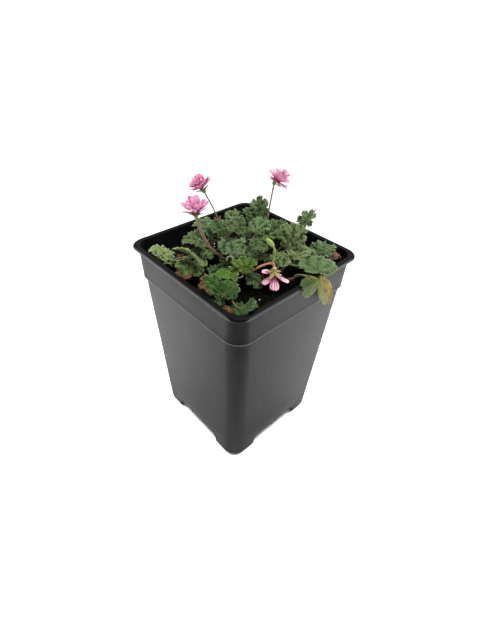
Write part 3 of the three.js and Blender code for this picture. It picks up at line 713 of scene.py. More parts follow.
def rimReach(leaf, turn):
    # how far the crenate edge stands from the hub at a turn from the tip
    shape = leafLook[leaf.get("outline", "round")]
    ribs = leafLook["ribs"]
    ribTurn = math.tau / ribs
    spoke = (turn % math.tau) / ribTurn
    rib = round(spoke)
    off = (spoke - rib) * ribTurn
    lobe = shape["lobes"][min(rib % ribs, ribs - rib % ribs)]
    side = (rib if off > 0 else rib - 1) % ribs
    notch = shape["notches"][min(side, ribs - 1 - side)]
    degrees = abs(math.degrees(off))
    seed = leaf["seed"]
    lobe *= 1 + 0.05 * noise.noise(Vector((rib % ribs * 2.3, seed, 1.0)))
    fall = max(0.0, (degrees - leafLook["lobeHalfTurn"]) / leafLook["notchTurn"])
    reach = blend(lobe, notch, fall ** 1.3)
    tooth = abs(math.cos(math.pi * degrees / leafLook["toothTurn"] + 0.25 * math.sin(seed + rib))) ** 0.7
    return reach * (0.89 + 0.145 * tooth)


def flatPattern(rim, rings):
    # a disc of rings round a hub, to be bent into blades
    dropPick()
    bpy.ops.mesh.primitive_circle_add(vertices=rim, radius=1.0, fill_type="NOTHING")
    pattern = bpy.context.object
    bpy.ops.object.mode_set(mode="EDIT")
    bpy.ops.mesh.select_all(action="SELECT")
    for ring in range(rings - 1, 0, -1):
        share = (ring / rings) / ((ring + 1) / rings)
        bpy.ops.mesh.extrude_region_move()
        bpy.ops.transform.resize(value=(share, share, share))
    bpy.ops.mesh.edge_face_add()
    bpy.ops.mesh.poke()
    bpy.ops.mesh.select_all(action="SELECT")
    bpy.ops.mesh.normals_make_consistent(inside=False)
    bpy.ops.object.mode_set(mode="OBJECT")
    if pattern.data.polygons[0].normal.z < 0:
        pattern.data.flip_normals()
    return pattern


patterns = {"fine": flatPattern(168, 11), "small": flatPattern(98, 7)}


def makeBlade(leaf):
    # bends a copy of the flat pattern into one blade and gives it what the leaf skin reads
    blade = copied(patterns["fine" if leaf["width"] >= 13 else "small"])
    axes = bladeAxes(leaf)
    length = bladeLength(leaf)
    flat, wither, rim, pucker, tints = [], [], [], [], []
    seed = leaf["seed"]
    tint = Vector(leafTint(leaf))
    sideTint = Vector(leafLook[leaf.get("sideTint", "grey")])
    for corner in blade.data.vertices:
        share = min(1.0, corner.co.length)
        turn = math.atan2(corner.co.y, corner.co.x)
        reach = share * rimReach(leaf, turn)
        u = leafLook["hub"] + 0.5 * reach * math.cos(turn)
        v = reach * math.sin(turn)
        x, y = (u - 0.06) * length, v * leaf["width"] / 2
        flat.append((0.5 + x / leafLook["planeSide"], 0.5 + y / leafLook["planeSide"]))
        patch = 0.5 + 0.5 * noise.noise(Vector((u * 4.5, v * 2.2, seed * 1.9)))
        burn = leaf.get("burn", 0.12) * (share ** leaf.get("burnEdge", 4)) * (0.5 + patch)
        side = leaf.get("burnSide")
        if side is not None:
            burn *= max(0.0, math.cos(turn - math.radians(side))) * 1.6
        wither.append(min(1.0, burn))
        rim.append(share)
        relief = crinkle(leaf, u, v) * 0.75 * leaf.get("calm", 1.0) ** 0.5
        pucker.append(min(1.0, max(0.0, 0.5 + relief)))
        toSide = min(1.0, max(0.0, 0.35 + v * leaf.get("sideway", 0) + (patch - 0.5) * 0.5))
        tints.append(tuple(tint.lerp(sideTint, toSide if "sideTint" in leaf else 0.0)))
        corner.co = bladeSpot(leaf, axes, u, v, 1.0) * mm
    for name, values in (("wither", wither), ("rim", rim), ("pucker", pucker), ("tint", tints)):
        painted(blade, name, values)
    allOver(blade, "blade", 1.0)
    planeLaid(blade, "leafPlane", flat)
    return thickened(blade, leafLook["thick"])


def leafTint(leaf):
    base = Vector(leafLook[leaf.get("tint", "grey")])
    draw = seededDraw(int(leaf["seed"] * 977) + 3)
    light = 0.82 + 0.36 * draw()
    warm = (draw() - 0.5) * 0.22
    return (base.x * light * (1 + warm), base.y * light, base.z * light * (1 - warm))


def stalkPath(crown, leaf):
    axes = bladeAxes(leaf)
    start = Vector(crown)
    foot = bladeSpot(leaf, axes, 0.06, 0, 1.0)
    inside = bladeSpot(leaf, axes, 0.24, 0, 1.0)
    span = (start - foot).length
    arrive = (foot - inside).normalized()
    second = start + Vector((0, 0, leaf.get("lift", 0.35) * span))
    third = foot + arrive * (leaf.get("lead", 0.3) * span)
    path = []
    for step in range(13):
        t = step / 12
        path.append(start * (1 - t) ** 3 + second * (3 * t * (1 - t) ** 2)
                    + third * (3 * t * t * (1 - t)) + foot * t ** 3)
    return path + [foot.lerp(inside, 0.5), inside]


def skinWorn(thing, tints, fresh=False):
    # what the leaf skin reads on a piece that isn't a blade
    painted(thing, "tint", tints)
    for name, value in (("wither", 0.0), ("blade", 0.0), ("rim", 0.0), ("pucker", 0.5)):
        allOver(thing, name, value)
    planeLaid(thing, "leafPlane", [(0.5, 0.5)] * len(tints), fresh)
    return thing


def stalkPiece(path, radii, colour, foot=None, seed=1):
    # a bar whose tint goes from foot to colour as it rises
    bar = tube(path, radii, 0.12, seed)
    low, high = min(spot[2] for spot in path), max(spot[2] for spot in path)
    tints = []
    for corner in bar.data.vertices:
        share = (corner.co.z / mm - low) / max(high - low, 0.1)
        tints.append(blendedTint(foot or colour, colour, min(1, max(0, share))))
    return skinWorn(bar, tints, True)


def leaf(start, tip, width, **more):
    return {"from": start, "to": tip, "width": width, **more}


def shoot(name, root, crown, **more):
    return {"name": name, "root": root, "crown": crown, **more}


# blades that lie flat on the rim
lying = {"arch": 0.01, "fold": 0.01, "sway": 0.15, "ribs": 0.2, "lift": 0.3, "calm": 0.35}

shoots = [
    shoot("leafy_shoot_centre", (1, 0), (2, 0, 141), leaves=[
        leaf((-4, -10, 153), (10, -17, 147), 18),
        leaf((1, -3, 155), (-14, -5, 160), 17, tint="deep"),
        leaf((7, 4, 156), (1, 17, 161), 15),
        leaf((9, -3, 154), (19, 3, 150), 17, tint="deep"),
        leaf((8, -7, 151), (18, -12, 142), 14),
        leaf((12, 4, 153), (10, 19, 156), 17, tint="deep"),
        leaf((-1, 2, 150), (-9, 11, 152), 13),
        leaf((10, 0, 143), (17, 6, 140), 12, tint="olive")]),
    shoot("leafy_shoot_back_left", (-10, 5), (-13, 2, 139), leaves=[
        leaf((-18, -9, 147), (-37, -10, 152), 18, tint="dusk"),
        leaf((-10, -7, 149), (-27, -4, 154), 16, tint="deep"),
        leaf((-20, -12, 144), (-36, -18, 146), 14, tint="dusk"),
        leaf((-12, 8, 149.5), (-24, 6, 159.5), 15, turn=2, fold=0.3, outline="whole")]),
    shoot("leafy_shoot_back", (-3, 12), (-3, 15, 140), leaves=[
        leaf((-6, 20, 152), (-15, 28, 168), 14, turn=-12, tint="dusk"),
        leaf((-8, 18, 150), (-19, 19, 160), 15, turn=10, tint="deep"),
        leaf((5, 18, 149), (4, 34, 154), 16, tint="deep"),
        leaf((1, 20, 148), (-4, 29, 151), 12)]),
    shoot("leafy_shoot_left", (-11, -6), (-13, -10, 136), leaves=[
        leaf((-15, -19, 144), (-30, -27, 147), 19, tint="dusk"),
        leaf((-19, -17, 142), (-23, -26, 137), 11, tint="deep"),
        leaf((-12, -17, 142), (-9, -26, 141), 11, tint="deep"),
        leaf((-9.2, -13, 144.8), (-1, -10.5, 143.8), 10.5, tint="dusk")]),
    shoot("leafy_shoot_back_right", (13, 10), (16, 13, 137), leaves=[
        leaf((23, 19, 146), (16, 32, 158), 20),
        leaf((29, 15, 143), (30, 31, 146), 19, tint="pale"),
        leaf((25, 12, 146), (27, 2, 141), 16),
        leaf((15, 38, 149), (13, 54, 160), 13, outline="cut"),
        leaf((31, 18, 142), (35, 31, 145), 12, tint="deep")]),
    shoot("leafy_shoot_right", (19, 4), (27, 10, 135), leaves=[
        leaf((37, 27, 141), (38, 46, 146), 16, tint="deep"),
        leaf((53, 12, 144.9), (41, 26, 146.6), 24, tint="sage", outline="whole",
             **{**lying, "fold": -0.06, "lead": 0.05, "lift": 0.4, "calm": 0.6})]),
    shoot("hanging_leaf_right", (28, 3), (40, 6, 137), slot="leaf_yellow", leaves=[
        leaf((51.5, 4, 144.9), (64.5, -1, 144.9), 15, **{**lying, "ribs": 0.1, "calm": 0.2}, tint="lime",
             outline="whole", sideTint="turning", sideway=0.75),
        leaf((56, 9.5, 145.3), (82, 25.5, 145.3), 12, **{**lying, "calm": 0.25}, tint="yellow",
             outline="whole", sideTint="turning", sideway=-0.9, burn=0.42, burnEdge=1.5, burnSide=20)]),
    shoot("leafy_shoot_front", (10, -9), (13, -12, 134), curl=(9.9, -20.8, 147.3),
          slot="leaf_bright_green", leaves=[
        leaf((23, -25.5, 143.2), (11, -33.5, 141.5), 15, tint="bright", calm=0.6),
        leaf((23.4, -19.4, 144), (13.2, -13.6, 147.4), 15, tint="bright", calm=0.5),
        leaf((20, -15, 139), (30, -12, 134), 14, tint="shade"),
        leaf((3, -20, 138), (3, -31, 136), 13, tint="deep"),
        leaf((4, -13, 140), (-2, -19, 140), 11, tint="deep")]),
    shoot("leafy_shoot_left_corner", (-13, -17), (-15, -21, 134), leaves=[
        leaf((-27, -41, 136.5), (-44, -41, 140), 17, turn=12, tint="pale"),
        leaf((-27, -37, 135), (-31, -47, 134), 12, tint="olive"),
        leaf((0, -33, 142), (-21, -41, 149), 13, turn=34, fold=0.3, tint="fresh", calm=0.4),
        leaf((-8, -28, 136), (-12, -47, 135), 19, turn=-10, tint="olive", burn=0.82, burnSide=30)]),
    shoot("leafy_shoot_front_corner", (6, -16), (16, -28, 133), leaves=[
        leaf((26, -40.5, 138), (12, -44.5, 145.6), 18.6, tint="front", burn=0.82, burnSide=60),
        leaf((29, -42, 140), (30, -33, 146), 15, tint="front", calm=0.3, outline="whole"),
        leaf((28, -40, 136), (22, -49, 138), 13, tint="front"),
        leaf((33, -38, 134.5), (46, -42, 136), 15, tint="front", calm=0.6),
        leaf((45.5, -42, 141.5), (51, -37.5, 145), 11.5, tint="front", calm=0.6, outline="whole")]),
]
singleLeaves = [
    {"name": "brown_leaf_right", "root": (34, 30), "slot": "leaf_brown",
     "blade": leaf((41, 37, 138), (42, 48, 140), 11, tint="dead", burn=0.5, burnEdge=1)},
    {"name": "dead_leaf_left", "root": (-17, -30), "slot": "leaf_brown",
     "blade": leaf((-22, -31, 134), (-33, -35, 134), 8, tint="dead", burn=0.6, burnEdge=0)},
    {"name": "dead_leaf_back", "root": (6, 34), "slot": "leaf_brown",
     "blade": leaf((4, 38, 138), (0, 47, 142), 8, tint="dead", burn=0.6, burnEdge=0)},
    {"name": "yellow_leaf_front", "root": (27, -46), "slot": "leaf_yellow",
     "blade": leaf((34, -46.5, 138), (44, -47.5, 139), 4.5, tint="yellow", burn=0.8, burnEdge=1)},
]


def leafPaint():
    look = leafLook
    paint, place = newPaint("leaf_paint", {"Specular IOR Level": 0.14, "Sheen Weight": 0.08,
                                           "Sheen Roughness": 0.5, "Sheen Tint": (0.85, 0.95, 0.6, 1.0)})
    tint = place.carried("tint", "Color")
    wither, onBlade, rim, pucker = [place.carried(name) for name in ("wither", "blade", "rim", "pucker")]
    plane = place.node("ShaderNodeUVMap", {"uv_map": "leafPlane"})
    x = (plane.part("X") - 0.5) * look["planeSide"]
    y = (plane.part("Y") - 0.5) * look["planeSide"]
    reach = place.math("SQRT", x * x + y * y)
    turn = place.math("ARCTAN2", y, x) / look["veinTurn"]
    off = turn - place.math("ROUND", turn)
    across = abs(off) * look["veinTurn"] * reach
    mainVein = across.ranged(0.34, 0.08) * onBlade
    rungs = reach / 1.9 - abs(off) * 3.0
    rung = abs(rungs - place.math("ROUND", rungs)).ranged(0.13, 0.03) * across.ranged(0.1, 0.5)
    veins = (mainVein + rung * 0.6 * onBlade).clamped()
    cloud = speckle(place, 160.0)
    fine = speckle(place, 900.0)
    # painted shade in the valleys of the puckers and a painted highlight on their crests
    valleyShade = pucker.ranged(0.5, 0.15)
    crestHighlight = pucker.ranged(0.55, 0.95)
    mottle = speckle(place, 75.0).ranged(0.42, 0.62) * onBlade
    colour = (mottle * 0.5).mixed(tint, tint.filtered((0.62, 0.92, 0.55)))
    colour = colour.tinted(1.1 + cloud * 0.5 - valleyShade * 0.95 - veins * 0.35)
    colour = (crestHighlight * 0.4 * onBlade).mixed(colour, tint.tinted(2.3))
    # a painted highlight along the blade's rim, and pale flecks on rims and crests that are partly the down
    # and partly painted highlight
    edge = rim.ranged(0.84, 0.99)
    flecks = fine.ranged(0.46, 0.62)
    colour = (edge * (0.2 + fine * 0.5)).mixed(colour, tint.tinted(3.0))
    colour = (flecks * (edge * 0.5 + crestHighlight * 0.22 * onBlade)).mixed(colour, look["rimGlintAndDown"])
    dry = (wither * 1.5 + cloud - 0.72).ranged(0.0, 0.5) * wither.ranged(0.05, 0.4)
    colour = dry.mixed(colour, cloud.ranged(0.4, 0.65).mixed(look["dryDark"], look["dryLight"]))
    height = place.cells(950.0, "SMOOTH_F1") * 0.7 + fine * 0.5 - veins * 0.8
    return finishedPaint(paint, colour, 0.5 + fine * 0.25 + dry * 0.15, height, 0.55, 0.0005)


leafSkin = leafPaint()
# foot, direction and length of every hair
hairSpots = []


def hairsOnBlade(leaf, count):
    axes = bladeAxes(leaf)
    draw = seededDraw(int(leaf["seed"] * 331) + 5)
    for _ in range(count):
        onRim = draw() < 0.6
        turn = draw() * math.tau
        share = 1.0 if onRim else draw() ** 0.5
        reach = share * rimReach(leaf, turn)
        u, v = leafLook["hub"] + 0.5 * reach * math.cos(turn), reach * math.sin(turn)
        spot = bladeSpot(leaf, axes, u, v, 1.0)
        inner = bladeSpot(leaf, axes, blend(leafLook["hub"], u, 0.9), v * 0.9, 1.0)
        outward = (spot - inner).normalized()
        face = axes[2] * (1 if draw() < 0.7 else -1)
        way = (outward * (1.0 if onRim else 0.35) + face * (0.5 if onRim else 1.0)
               + Vector((draw() - 0.5, draw() - 0.5, draw() - 0.5)) * 0.7).normalized()
        hairSpots.append((spot - outward * 0.12, way, blend(0.35, 0.85, draw())))


def hairsOnStalk(path, radius, perMm, seed, long=0.8):
    draw = seededDraw(seed)
    for low, high in zip(path, path[1:]):
        low, high = Vector(low), Vector(high)
        ahead = (high - low).normalized()
        side = ahead.orthogonal().normalized()
        other = ahead.cross(side)
        for _ in range(max(1, round((high - low).length * perMm))):
            turn = draw() * math.tau
            out = side * math.cos(turn) + other * math.sin(turn)
            way = (out + ahead * (draw() - 0.4) * 0.8).normalized()
            spot = low.lerp(high, draw()) + out * radius * 0.7
            hairSpots.append((spot, way, blend(0.45, 1.0, draw()) * long))


def numberLeaves():
    for shoot in shoots:
        crown = shoot["crown"]
        draw = seededDraw(math.floor(crown[0] * 7 + crown[1] * 13 + 500 + 0.5))
        for i, entry in enumerate(shoot["leaves"]):
            drawn = {"phase": draw() * math.tau, "sway": 0.5 + draw() * 0.6, "fold": draw() * 0.4 - 0.12,
                     "arch": 0.05 + draw() * 0.1}
            shoot["leaves"][i] = {**drawn, **entry, "seed": crown[0] * 0.37 + crown[1] * 0.53 + i * 1.71}
    for i, entry in enumerate(singleLeaves):
        entry["blade"]["seed"] = 40.3 + i * 2.9


def curledTip(crown, centre):
    across, up = Vector((0.69, 0.72, 0)), Vector((-0.34, 0.33, 0.88))
    path = [Vector(crown), Vector(crown).lerp(Vector(centre), 0.5) + Vector((0, 0, 1))]
    for turn in range(-60, 211, 30):
        angle = math.radians(turn)
        path.append(Vector(centre) + across * (2 * math.cos(angle)) + up * (2 * math.sin(angle)))
    return smoothPath(path, 34)


def makeShoot(shoot):
    look = leafLook
    x, y = shoot["root"]
    stem = smoothPath([(x, y, 117), (x, y, 128), shoot["crown"]], 12)
    parts = [stalkPiece(stem, (1.5, 1.15), look["stalkRed"], seed=x + 50)]
    for i, entry in enumerate(shoot["leaves"]):
        path = stalkPath(shoot["crown"], entry)
        red = seededDraw(int(entry["seed"] * 77) + 9)() < 0.5
        parts.append(stalkPiece(path, look["stalkRadii"], look["stalkGreen"],
                                look["stalkRed"] if red else look["stalkGreen"], i + 1))
        hairsOnStalk(path, 0.55, 2.2, int(entry["seed"] * 55) + 7)
        parts.append(makeBlade(entry))
        hairsOnBlade(entry, round(entry["width"] * 9))
    if shoot.get("curl"):
        path = curledTip(shoot["crown"], shoot["curl"])
        parts.append(stalkPiece(path, (0.7, 0.62, 0.55), look["youngTip"], look["stalkRed"], 3))
        hairsOnStalk(path, 0.5, 3.0, 91)
    name, slot = shoot["name"], shoot.get("slot", "leaf_grey_green")
    return finishPiece(parts, name + "_leaves", name, slot, leafSkin)


def makeSingleLeaf(entry):
    name, blade = entry["name"], entry["blade"]
    axes = bladeAxes(blade)
    x, y = entry["root"]
    path = smoothPath([(x, y, 119), (x, y, soilHeight(x, y)), bladeSpot(blade, axes, 0.1, 0, 1.0),
                       bladeSpot(blade, axes, 0.3, 0, 1.0)], 16)
    stalk = stalkPiece(path, (0.6, 0.3), leafLook["brown"], seed=4)
    finishPiece([stalk, makeBlade(blade)], name + "_leaves", name, entry["slot"], leafSkin)


numberLeaves()
for shoot in shoots:
    made = makeShoot(shoot)
    print("stage:", made.name, len(made.data.polygons))
for entry in singleLeaves:
    makeSingleLeaf(entry)
for pattern in patterns.values():
    bpy.data.objects.remove(pattern)
print("stage: leaves done")


# the blooms: layered pink petals over a green calyx on a hairy stalk

bloomLook = {
    "core": 2.0, "cup": 1.4, "clear": 0.3, "sink": 1.1, "thick": 0.22, "sepals": 5,
    "sepal": {"length": 5.6, "width": 2.6, "curl": 0.14, "cup": 0.4, "ruffle": 0.1},
    "pale": (0.86, 0.52, 0.66), "streak": (0.34, 0.03, 0.13), "bract": (0.33, 0.2, 0.16),
    "calyxGreen": (0.13, 0.17, 0.06), "calyxRed": (0.16, 0.06, 0.05), "stalkRed": (0.17, 0.085, 0.06),
    "stalkPale": (0.2, 0.15, 0.1),
    "layers": (
        {"count": 8, "open": 80, "length": 1.0, "width": 4.6, "rise": 0.0},
        {"count": 8, "open": 62, "length": 1.0, "width": 4.4, "rise": 0.3},
        {"count": 7, "open": 42, "length": 0.98, "width": 4.1, "rise": 0.6},
        {"count": 5, "open": 20, "length": 0.92, "width": 3.7, "rise": 0.9}),
}
blooms = [
    {"name": "bloom_left_tall", "seed": 5, "pink": (0.58, 0.115, 0.265), "radii": (0.75, 0.55),
     "reach": 9.3, "spread": 0.98, "full": 1.0, "curl": 0.16, "face": (-0.37, -0.26, 0.82),
     "stalk": [(-9, 0, 117), (-9, 0, 131), (-18, 3, 140), (-28.5, 2.8, 151), (-32, 0, 161)],
     "head": (-33, -9, 178.6), "bracts": ((-32, 1, 153.4), (-29.2, 4.4, 154.6))},
    {"name": "bloom_left_low", "seed": 6, "pink": (0.76, 0.29, 0.54), "radii": (1.1, 0.95),
     "reach": 10.0, "spread": 1.06, "full": 0.85, "curl": 0.22, "face": (-0.1, 0.02, 0.99),
     "stalk": [(-4, -8, 117), (-4, -8, 131), (-5, -14, 139), (-7.4, -20.6, 146), (-9.5, -26, 157)],
     "head": (-12, -30, 175.4), "bracts": ()},
    {"name": "bloom_right", "seed": 7, "pink": (0.66, 0.28, 0.41), "radii": (0.75, 0.55),
     "reach": 9.2, "spread": 1.12, "full": 0.72, "curl": 0.08, "face": (0.5, 0.34, 0.66),
     "stalk": [(3, 15, 117), (3, 15, 130), (0, 24, 141), (-7, 29, 152), (-6, 29.5, 165)],
     "head": (-0.6, 29.6, 184), "bracts": ()},
]
# the share of its full width that a petal or sepal has at each share of its length
petalWidth = [(0.0, 0.24), (0.2, 0.46), (0.45, 0.84), (0.7, 1.0), (0.88, 0.92), (0.96, 0.7), (1.0, 0.42)]
sepalWidth = [(0.0, 0.6), (0.3, 1.0), (0.65, 0.75), (0.9, 0.3), (1.0, 0.08)]


def flatStrip(columns, rows):
    # to be bent into petals and sepals
    dropPick()
    bpy.ops.mesh.primitive_grid_add(x_subdivisions=columns, y_subdivisions=rows, size=1.0)
    return bpy.context.object


strips = {"petal": flatStrip(8, 12), "sepal": flatStrip(5, 8)}


def makePetal(root, along, face, size, tint, seed, kind="petal"):
    # one petal or sepal: a strip narrowed to its outline, cupped, curled and ruffled
    out = (face - along * face.dot(along)).normalized()
    across = out.cross(along)
    petal = copied(strips[kind])
    widths = petalWidth if kind == "petal" else sepalWidth
    flat = []
    for corner in petal.data.vertices:
        t, w = corner.co.y + 0.5, corner.co.x * 2
        notch = 0.1 * max(0.0, 1 - abs(w) * 3.2) * max(0.0, t - 0.85) / 0.15 if kind == "petal" else 0.0
        wide = between(widths, t) * size["width"] / 2
        lift = size["length"] * size["curl"] * t * t + abs(w) ** 1.5 * wide * size.get("cup", 0.28)
        lift += size.get("ruffle", 0.3) * t * t * math.sin(w * 4.2 + seed)
        lift += 0.18 * noise.noise(Vector((t * 4, w * 3, seed)))
        lean = size.get("lean", 0.0) * t * t
        flat.append((0.5 + w / 4, t * 0.96 + 0.02))
        reach = (t - notch) * size["length"] * (1 - 0.06 * w * w)
        corner.co = (root + along * reach + across * (w * wide + lean) + out * lift) * mm
    allOver(petal, "tint", tint)
    allOver(petal, "streaks", size.get("streaks", 0.6))
    planeLaid(petal, "petalPlane", flat)
    return thickened(petal, bloomLook["thick"])


def openedWay(face, opening, turn):
    # a direction opened away from the bloom's face, at a turn round it
    side = Vector((0.6, -0.8, 0.1)).cross(face).normalized()
    other = face.cross(side)
    return (face * math.cos(opening) + side * (math.sin(opening) * math.cos(turn))
            + other * (math.sin(opening) * math.sin(turn)))


def coreBall(centre, radius, tint):
    ballAdded(3, radius * mm, Vector(centre) * mm)
    ball = placeApplied()
    allOver(ball, "tint", tint)
    allOver(ball, "streaks", 0.0)
    planeNamed(ball, "petalPlane")
    return ball


def petalPaint():
    paint, place = newPaint("petal_paint", {"Specular IOR Level": 0.25, "Sheen Weight": 0.25,
                                            "Sheen Roughness": 0.4})
    tint, streaks = place.carried("tint", "Color"), place.carried("streaks")
    plane = place.node("ShaderNodeUVMap", {"uv_map": "petalPlane"})
    w = (plane.part("X") - 0.5) * 4.0
    t = plane.part("Y")
    wobble = speckle(place, 500.0, 2.0)
    lines = w * 2.0 + (wobble - 0.5) * 0.4
    line = abs(lines - place.math("ROUND", lines)).ranged(0.3, 0.05)
    reachIn = t.ranged(0.98, 0.6) * t.ranged(0.0, 0.2)
    edge = abs(w).ranged(0.45, 1.0)
    colour = (edge * 0.35 + t.ranged(0.6, 1.0) * 0.3).clamped().mixed(tint, bloomLook["pale"])
    colour = (t.ranged(0.7, 0.2) * 0.75).mixed(colour, bloomLook["streak"])
    colour = (line * reachIn * streaks).clamped().mixed(colour, bloomLook["streak"])
    return finishedPaint(paint, colour, 0.5 + wobble * 0.2, line * 0.6 + wobble * 0.4, 0.3, 0.0003)


petalSkin = petalPaint()


def makeBloomHead(bloom):
    look = bloomLook
    draw = seededDraw(bloom["seed"] * 101)
    face = Vector(bloom["face"]).normalized()
    head = Vector(bloom["head"])
    parts = [coreBall(head, look["core"] * 0.9, look["streak"])]
    for row, layer in enumerate(look["layers"]):
        count = round(layer["count"] * bloom["full"])
        for i in range(count):
            turn = (i + row * 0.5 + (draw() - 0.5) * 0.45) / count * math.tau
            opening = math.radians(layer["open"] * bloom["spread"] + (draw() - 0.5) * 22)
            along = openedWay(face, opening, turn)
            root = head + along * 0.5 + face * (layer["rise"] - look["sink"])
            length = (bloom["reach"] - 0.7) * layer["length"] * (0.88 + draw() * 0.2)
            shade = 0.85 + draw() * 0.35
            base = Vector(bloom["pink"]).lerp(Vector(look["pale"]), draw() * 0.45)
            size = {"length": length, "width": layer["width"] * (0.85 + draw() * 0.3),
                    "curl": bloom["curl"] + draw() * 0.16, "cup": 0.2 + draw() * 0.3,
                    "ruffle": 0.3 + draw() * 0.3, "lean": (draw() - 0.5) * 1.2,
                    "streaks": 0.25 + draw() * 0.25}
            parts.append(makePetal(root, along, face, size, tuple(base * shade), draw() * 9))
    return finishPiece(parts, bloom["name"] + "_head", bloom["name"] + "_petals", "petal_pink", petalSkin)


def stalkTinted(thing, tint):
    # sepals and cups share the leaf skin, so they carry its attributes instead of a petal's
    for name in ("tint", "streaks"):
        thing.data.attributes.remove(thing.data.attributes[name])
    return skinWorn(thing, [tint] * len(thing.data.vertices))


def cupOf(head, face):
    return head - face * (bloomLook["core"] + bloomLook["cup"] + bloomLook["clear"])


def makeBloomStalk(bloom):
    look = bloomLook
    face = Vector(bloom["face"]).normalized()
    cup = cupOf(Vector(bloom["head"]), face)
    path = smoothPath([*bloom["stalk"], cup], 40)
    low, high = bloom["radii"]
    parts = [stalkPiece(path, (low, high, high * 0.95), look["stalkPale"], look["stalkRed"], 8)]
    parts.append(stalkTinted(coreBall(cup, look["cup"], look["calyxGreen"]), look["calyxGreen"]))
    draw = seededDraw(bloom["seed"] * 17)
    for i in range(look["sepals"]):
        along = openedWay(face, math.radians(70 + draw() * 10), (i + 0.3) / look["sepals"] * math.tau)
        tint = blendedTint(look["calyxGreen"], look["calyxRed"], draw() * 0.7)
        sepal = makePetal(cup + face * 0.2, along, face, look["sepal"], tint, i, "sepal")
        parts.append(stalkTinted(sepal, tint))
        hairsOnStalk([cup + along * 1.2, cup + along * 5.0 + face * 0.6], 0.9, 7.0, bloom["seed"] * 31 + i)
    for i, tip in enumerate(bloom["bracts"]):
        foot = Vector(bloom["stalk"][3]) - Vector((0, 0, 0.8))
        along = Vector(tip) - foot
        size = {"length": along.length, "width": 1.9, "curl": 0.12, "cup": 0.3, "ruffle": 0.1}
        front = Vector((0.6, -0.6, 0.5))
        bract = makePetal(foot, along.normalized(), front, size, look["bract"], 20 + i, "sepal")
        parts.append(stalkTinted(bract, look["bract"]))
    hairsOnStalk(path[14:], high, 7.0, bloom["seed"] * 13, 0.9)
    finishPiece(parts, bloom["name"] + "_calyx", bloom["name"] + "_stalk", "stalk", leafSkin)


for bloom in blooms:
    made = makeBloomHead(bloom)
    makeBloomStalk(bloom)
    print("stage:", made.name, len(made.data.polygons))


# the nodding bloom on its arched stalk, with the bud above it

noddingLook = {
    "head": (32.6, -4.6, 141.2), "face": (0.08, -0.08, -1.0),
    "arch": ((12, -8, 117), (12, -8, 131), (18.5, -14.5, 138.5), (23.2, -14, 143.2), (26, -9.5, 146),
             (28.3, -5.4, 147.2), (30.6, -3.6, 147.4)),
    "budStalk": ((30, -3.8, 147), (29.8, -2.6, 151.5), (30.3, -3.2, 156), (29.4, -3.6, 159.5)),
    "budLine": ((29.6, -3.4, 158.8), (28, -5.4, 162), (26.4, -7.2, 164.5)),
    "knotLine": ((30.1, -2.9, 154), (30.4, -3.3, 157.5)),
    # turn in degrees, drop and length in mm
    "petals": ((-108, 0.48, 9.0), (-40, 0.62, 10.0), (47, 0.4, 10.4), (112, 0.4, 9.0), (178, 0.12, 9.2)),
    "sepals": ((-75, 0.72, 7.4), (5, 0.74, 7.6), (80, 0.6, 6.6), (140, 0.5, 6.2), (215, 0.5, 7.0)),
    "petalSize": {"width": 6.2, "curl": 0.05, "cup": 0.25, "ruffle": 0.25, "streaks": 1.3},
    "sepalSize": {"width": 3.8, "curl": -0.04, "cup": 0.4, "ruffle": 0.1},
    "pink": (0.9, 0.52, 0.64), "sepal": (0.3, 0.26, 0.09), "bud": (0.21, 0.28, 0.08),
    "stalk": (0.28, 0.13, 0.08),
}


def hangingWay(degrees, drop):
    turn = math.radians(degrees)
    level = math.sqrt(1 - drop * drop)
    return Vector((math.cos(turn) * level, math.sin(turn) * level, -drop))


def makeNodding():
    look = noddingLook
    head, face = Vector(look["head"]), Vector(look["face"]).normalized()
    parts = [coreBall(head, bloomLook["core"] * 0.9, bloomLook["streak"])]
    for i, (turn, drop, length) in enumerate(look["petals"]):
        along = hangingWay(turn, drop)
        size = {**look["petalSize"], "length": length}
        parts.append(makePetal(head + along * 0.6, along, face, size, look["pink"], 2.0 + i * 1.3))
    finishPiece(parts, "nodding_bloom_head", "nodding_bloom_petals", "petal_pink", petalSkin)
    cup = cupOf(head, face)
    arch = smoothPath([*look["arch"], cup], 48)
    budStalk = smoothPath(look["budStalk"], 16)
    bud = smoothPath(look["budLine"], 12)
    knot = smoothPath(look["knotLine"], 8)
    parts = [
        stalkPiece(arch, (0.9, 0.7), look["stalk"], bloomLook["stalkRed"], 5),
        stalkPiece(budStalk, (0.55, 0.55), look["bud"], seed=6),
        stalkPiece(bud, (0.6, 1.35, 1.75, 1.5, 0.5), look["bud"], seed=7),
        stalkPiece(knot, (0.6, 1.05, 0.6), look["bud"], seed=9),
        stalkTinted(coreBall(cup, bloomLook["cup"], look["sepal"]), look["sepal"]),
    ]
    for i, (turn, drop, length) in enumerate(look["sepals"]):
        along = hangingWay(turn, drop)
        size = {**look["sepalSize"], "length": length}
        tint = blendedTint(look["sepal"], bloomLook["calyxRed"], 0.15 * (i % 3))
        parts.append(stalkTinted(makePetal(cup, along, face, size, tint, i, "sepal"), tint))
        hairsOnStalk([cup + along * 1.0, cup + along * 5.4], 0.9, 8.0, 300 + i)
    hairsOnStalk(arch[16:], 0.7, 7.0, 61)
    hairsOnStalk(budStalk, 0.5, 7.0, 62)
    hairsOnStalk(bud, 1.4, 12.0, 63)
    finishPiece(parts, "nodding_bloom_calyx", "nodding_bloom_stalk", "stalk", leafSkin)


makeNodding()
for strip in strips.values():
    bpy.data.objects.remove(strip)
print("stage: nodding bloom and bud")


# the taproot keeps its node and gets bark

barkLook = {"groove": (0.035, 0.02, 0.013), "ridge": (0.13, 0.08, 0.05)}


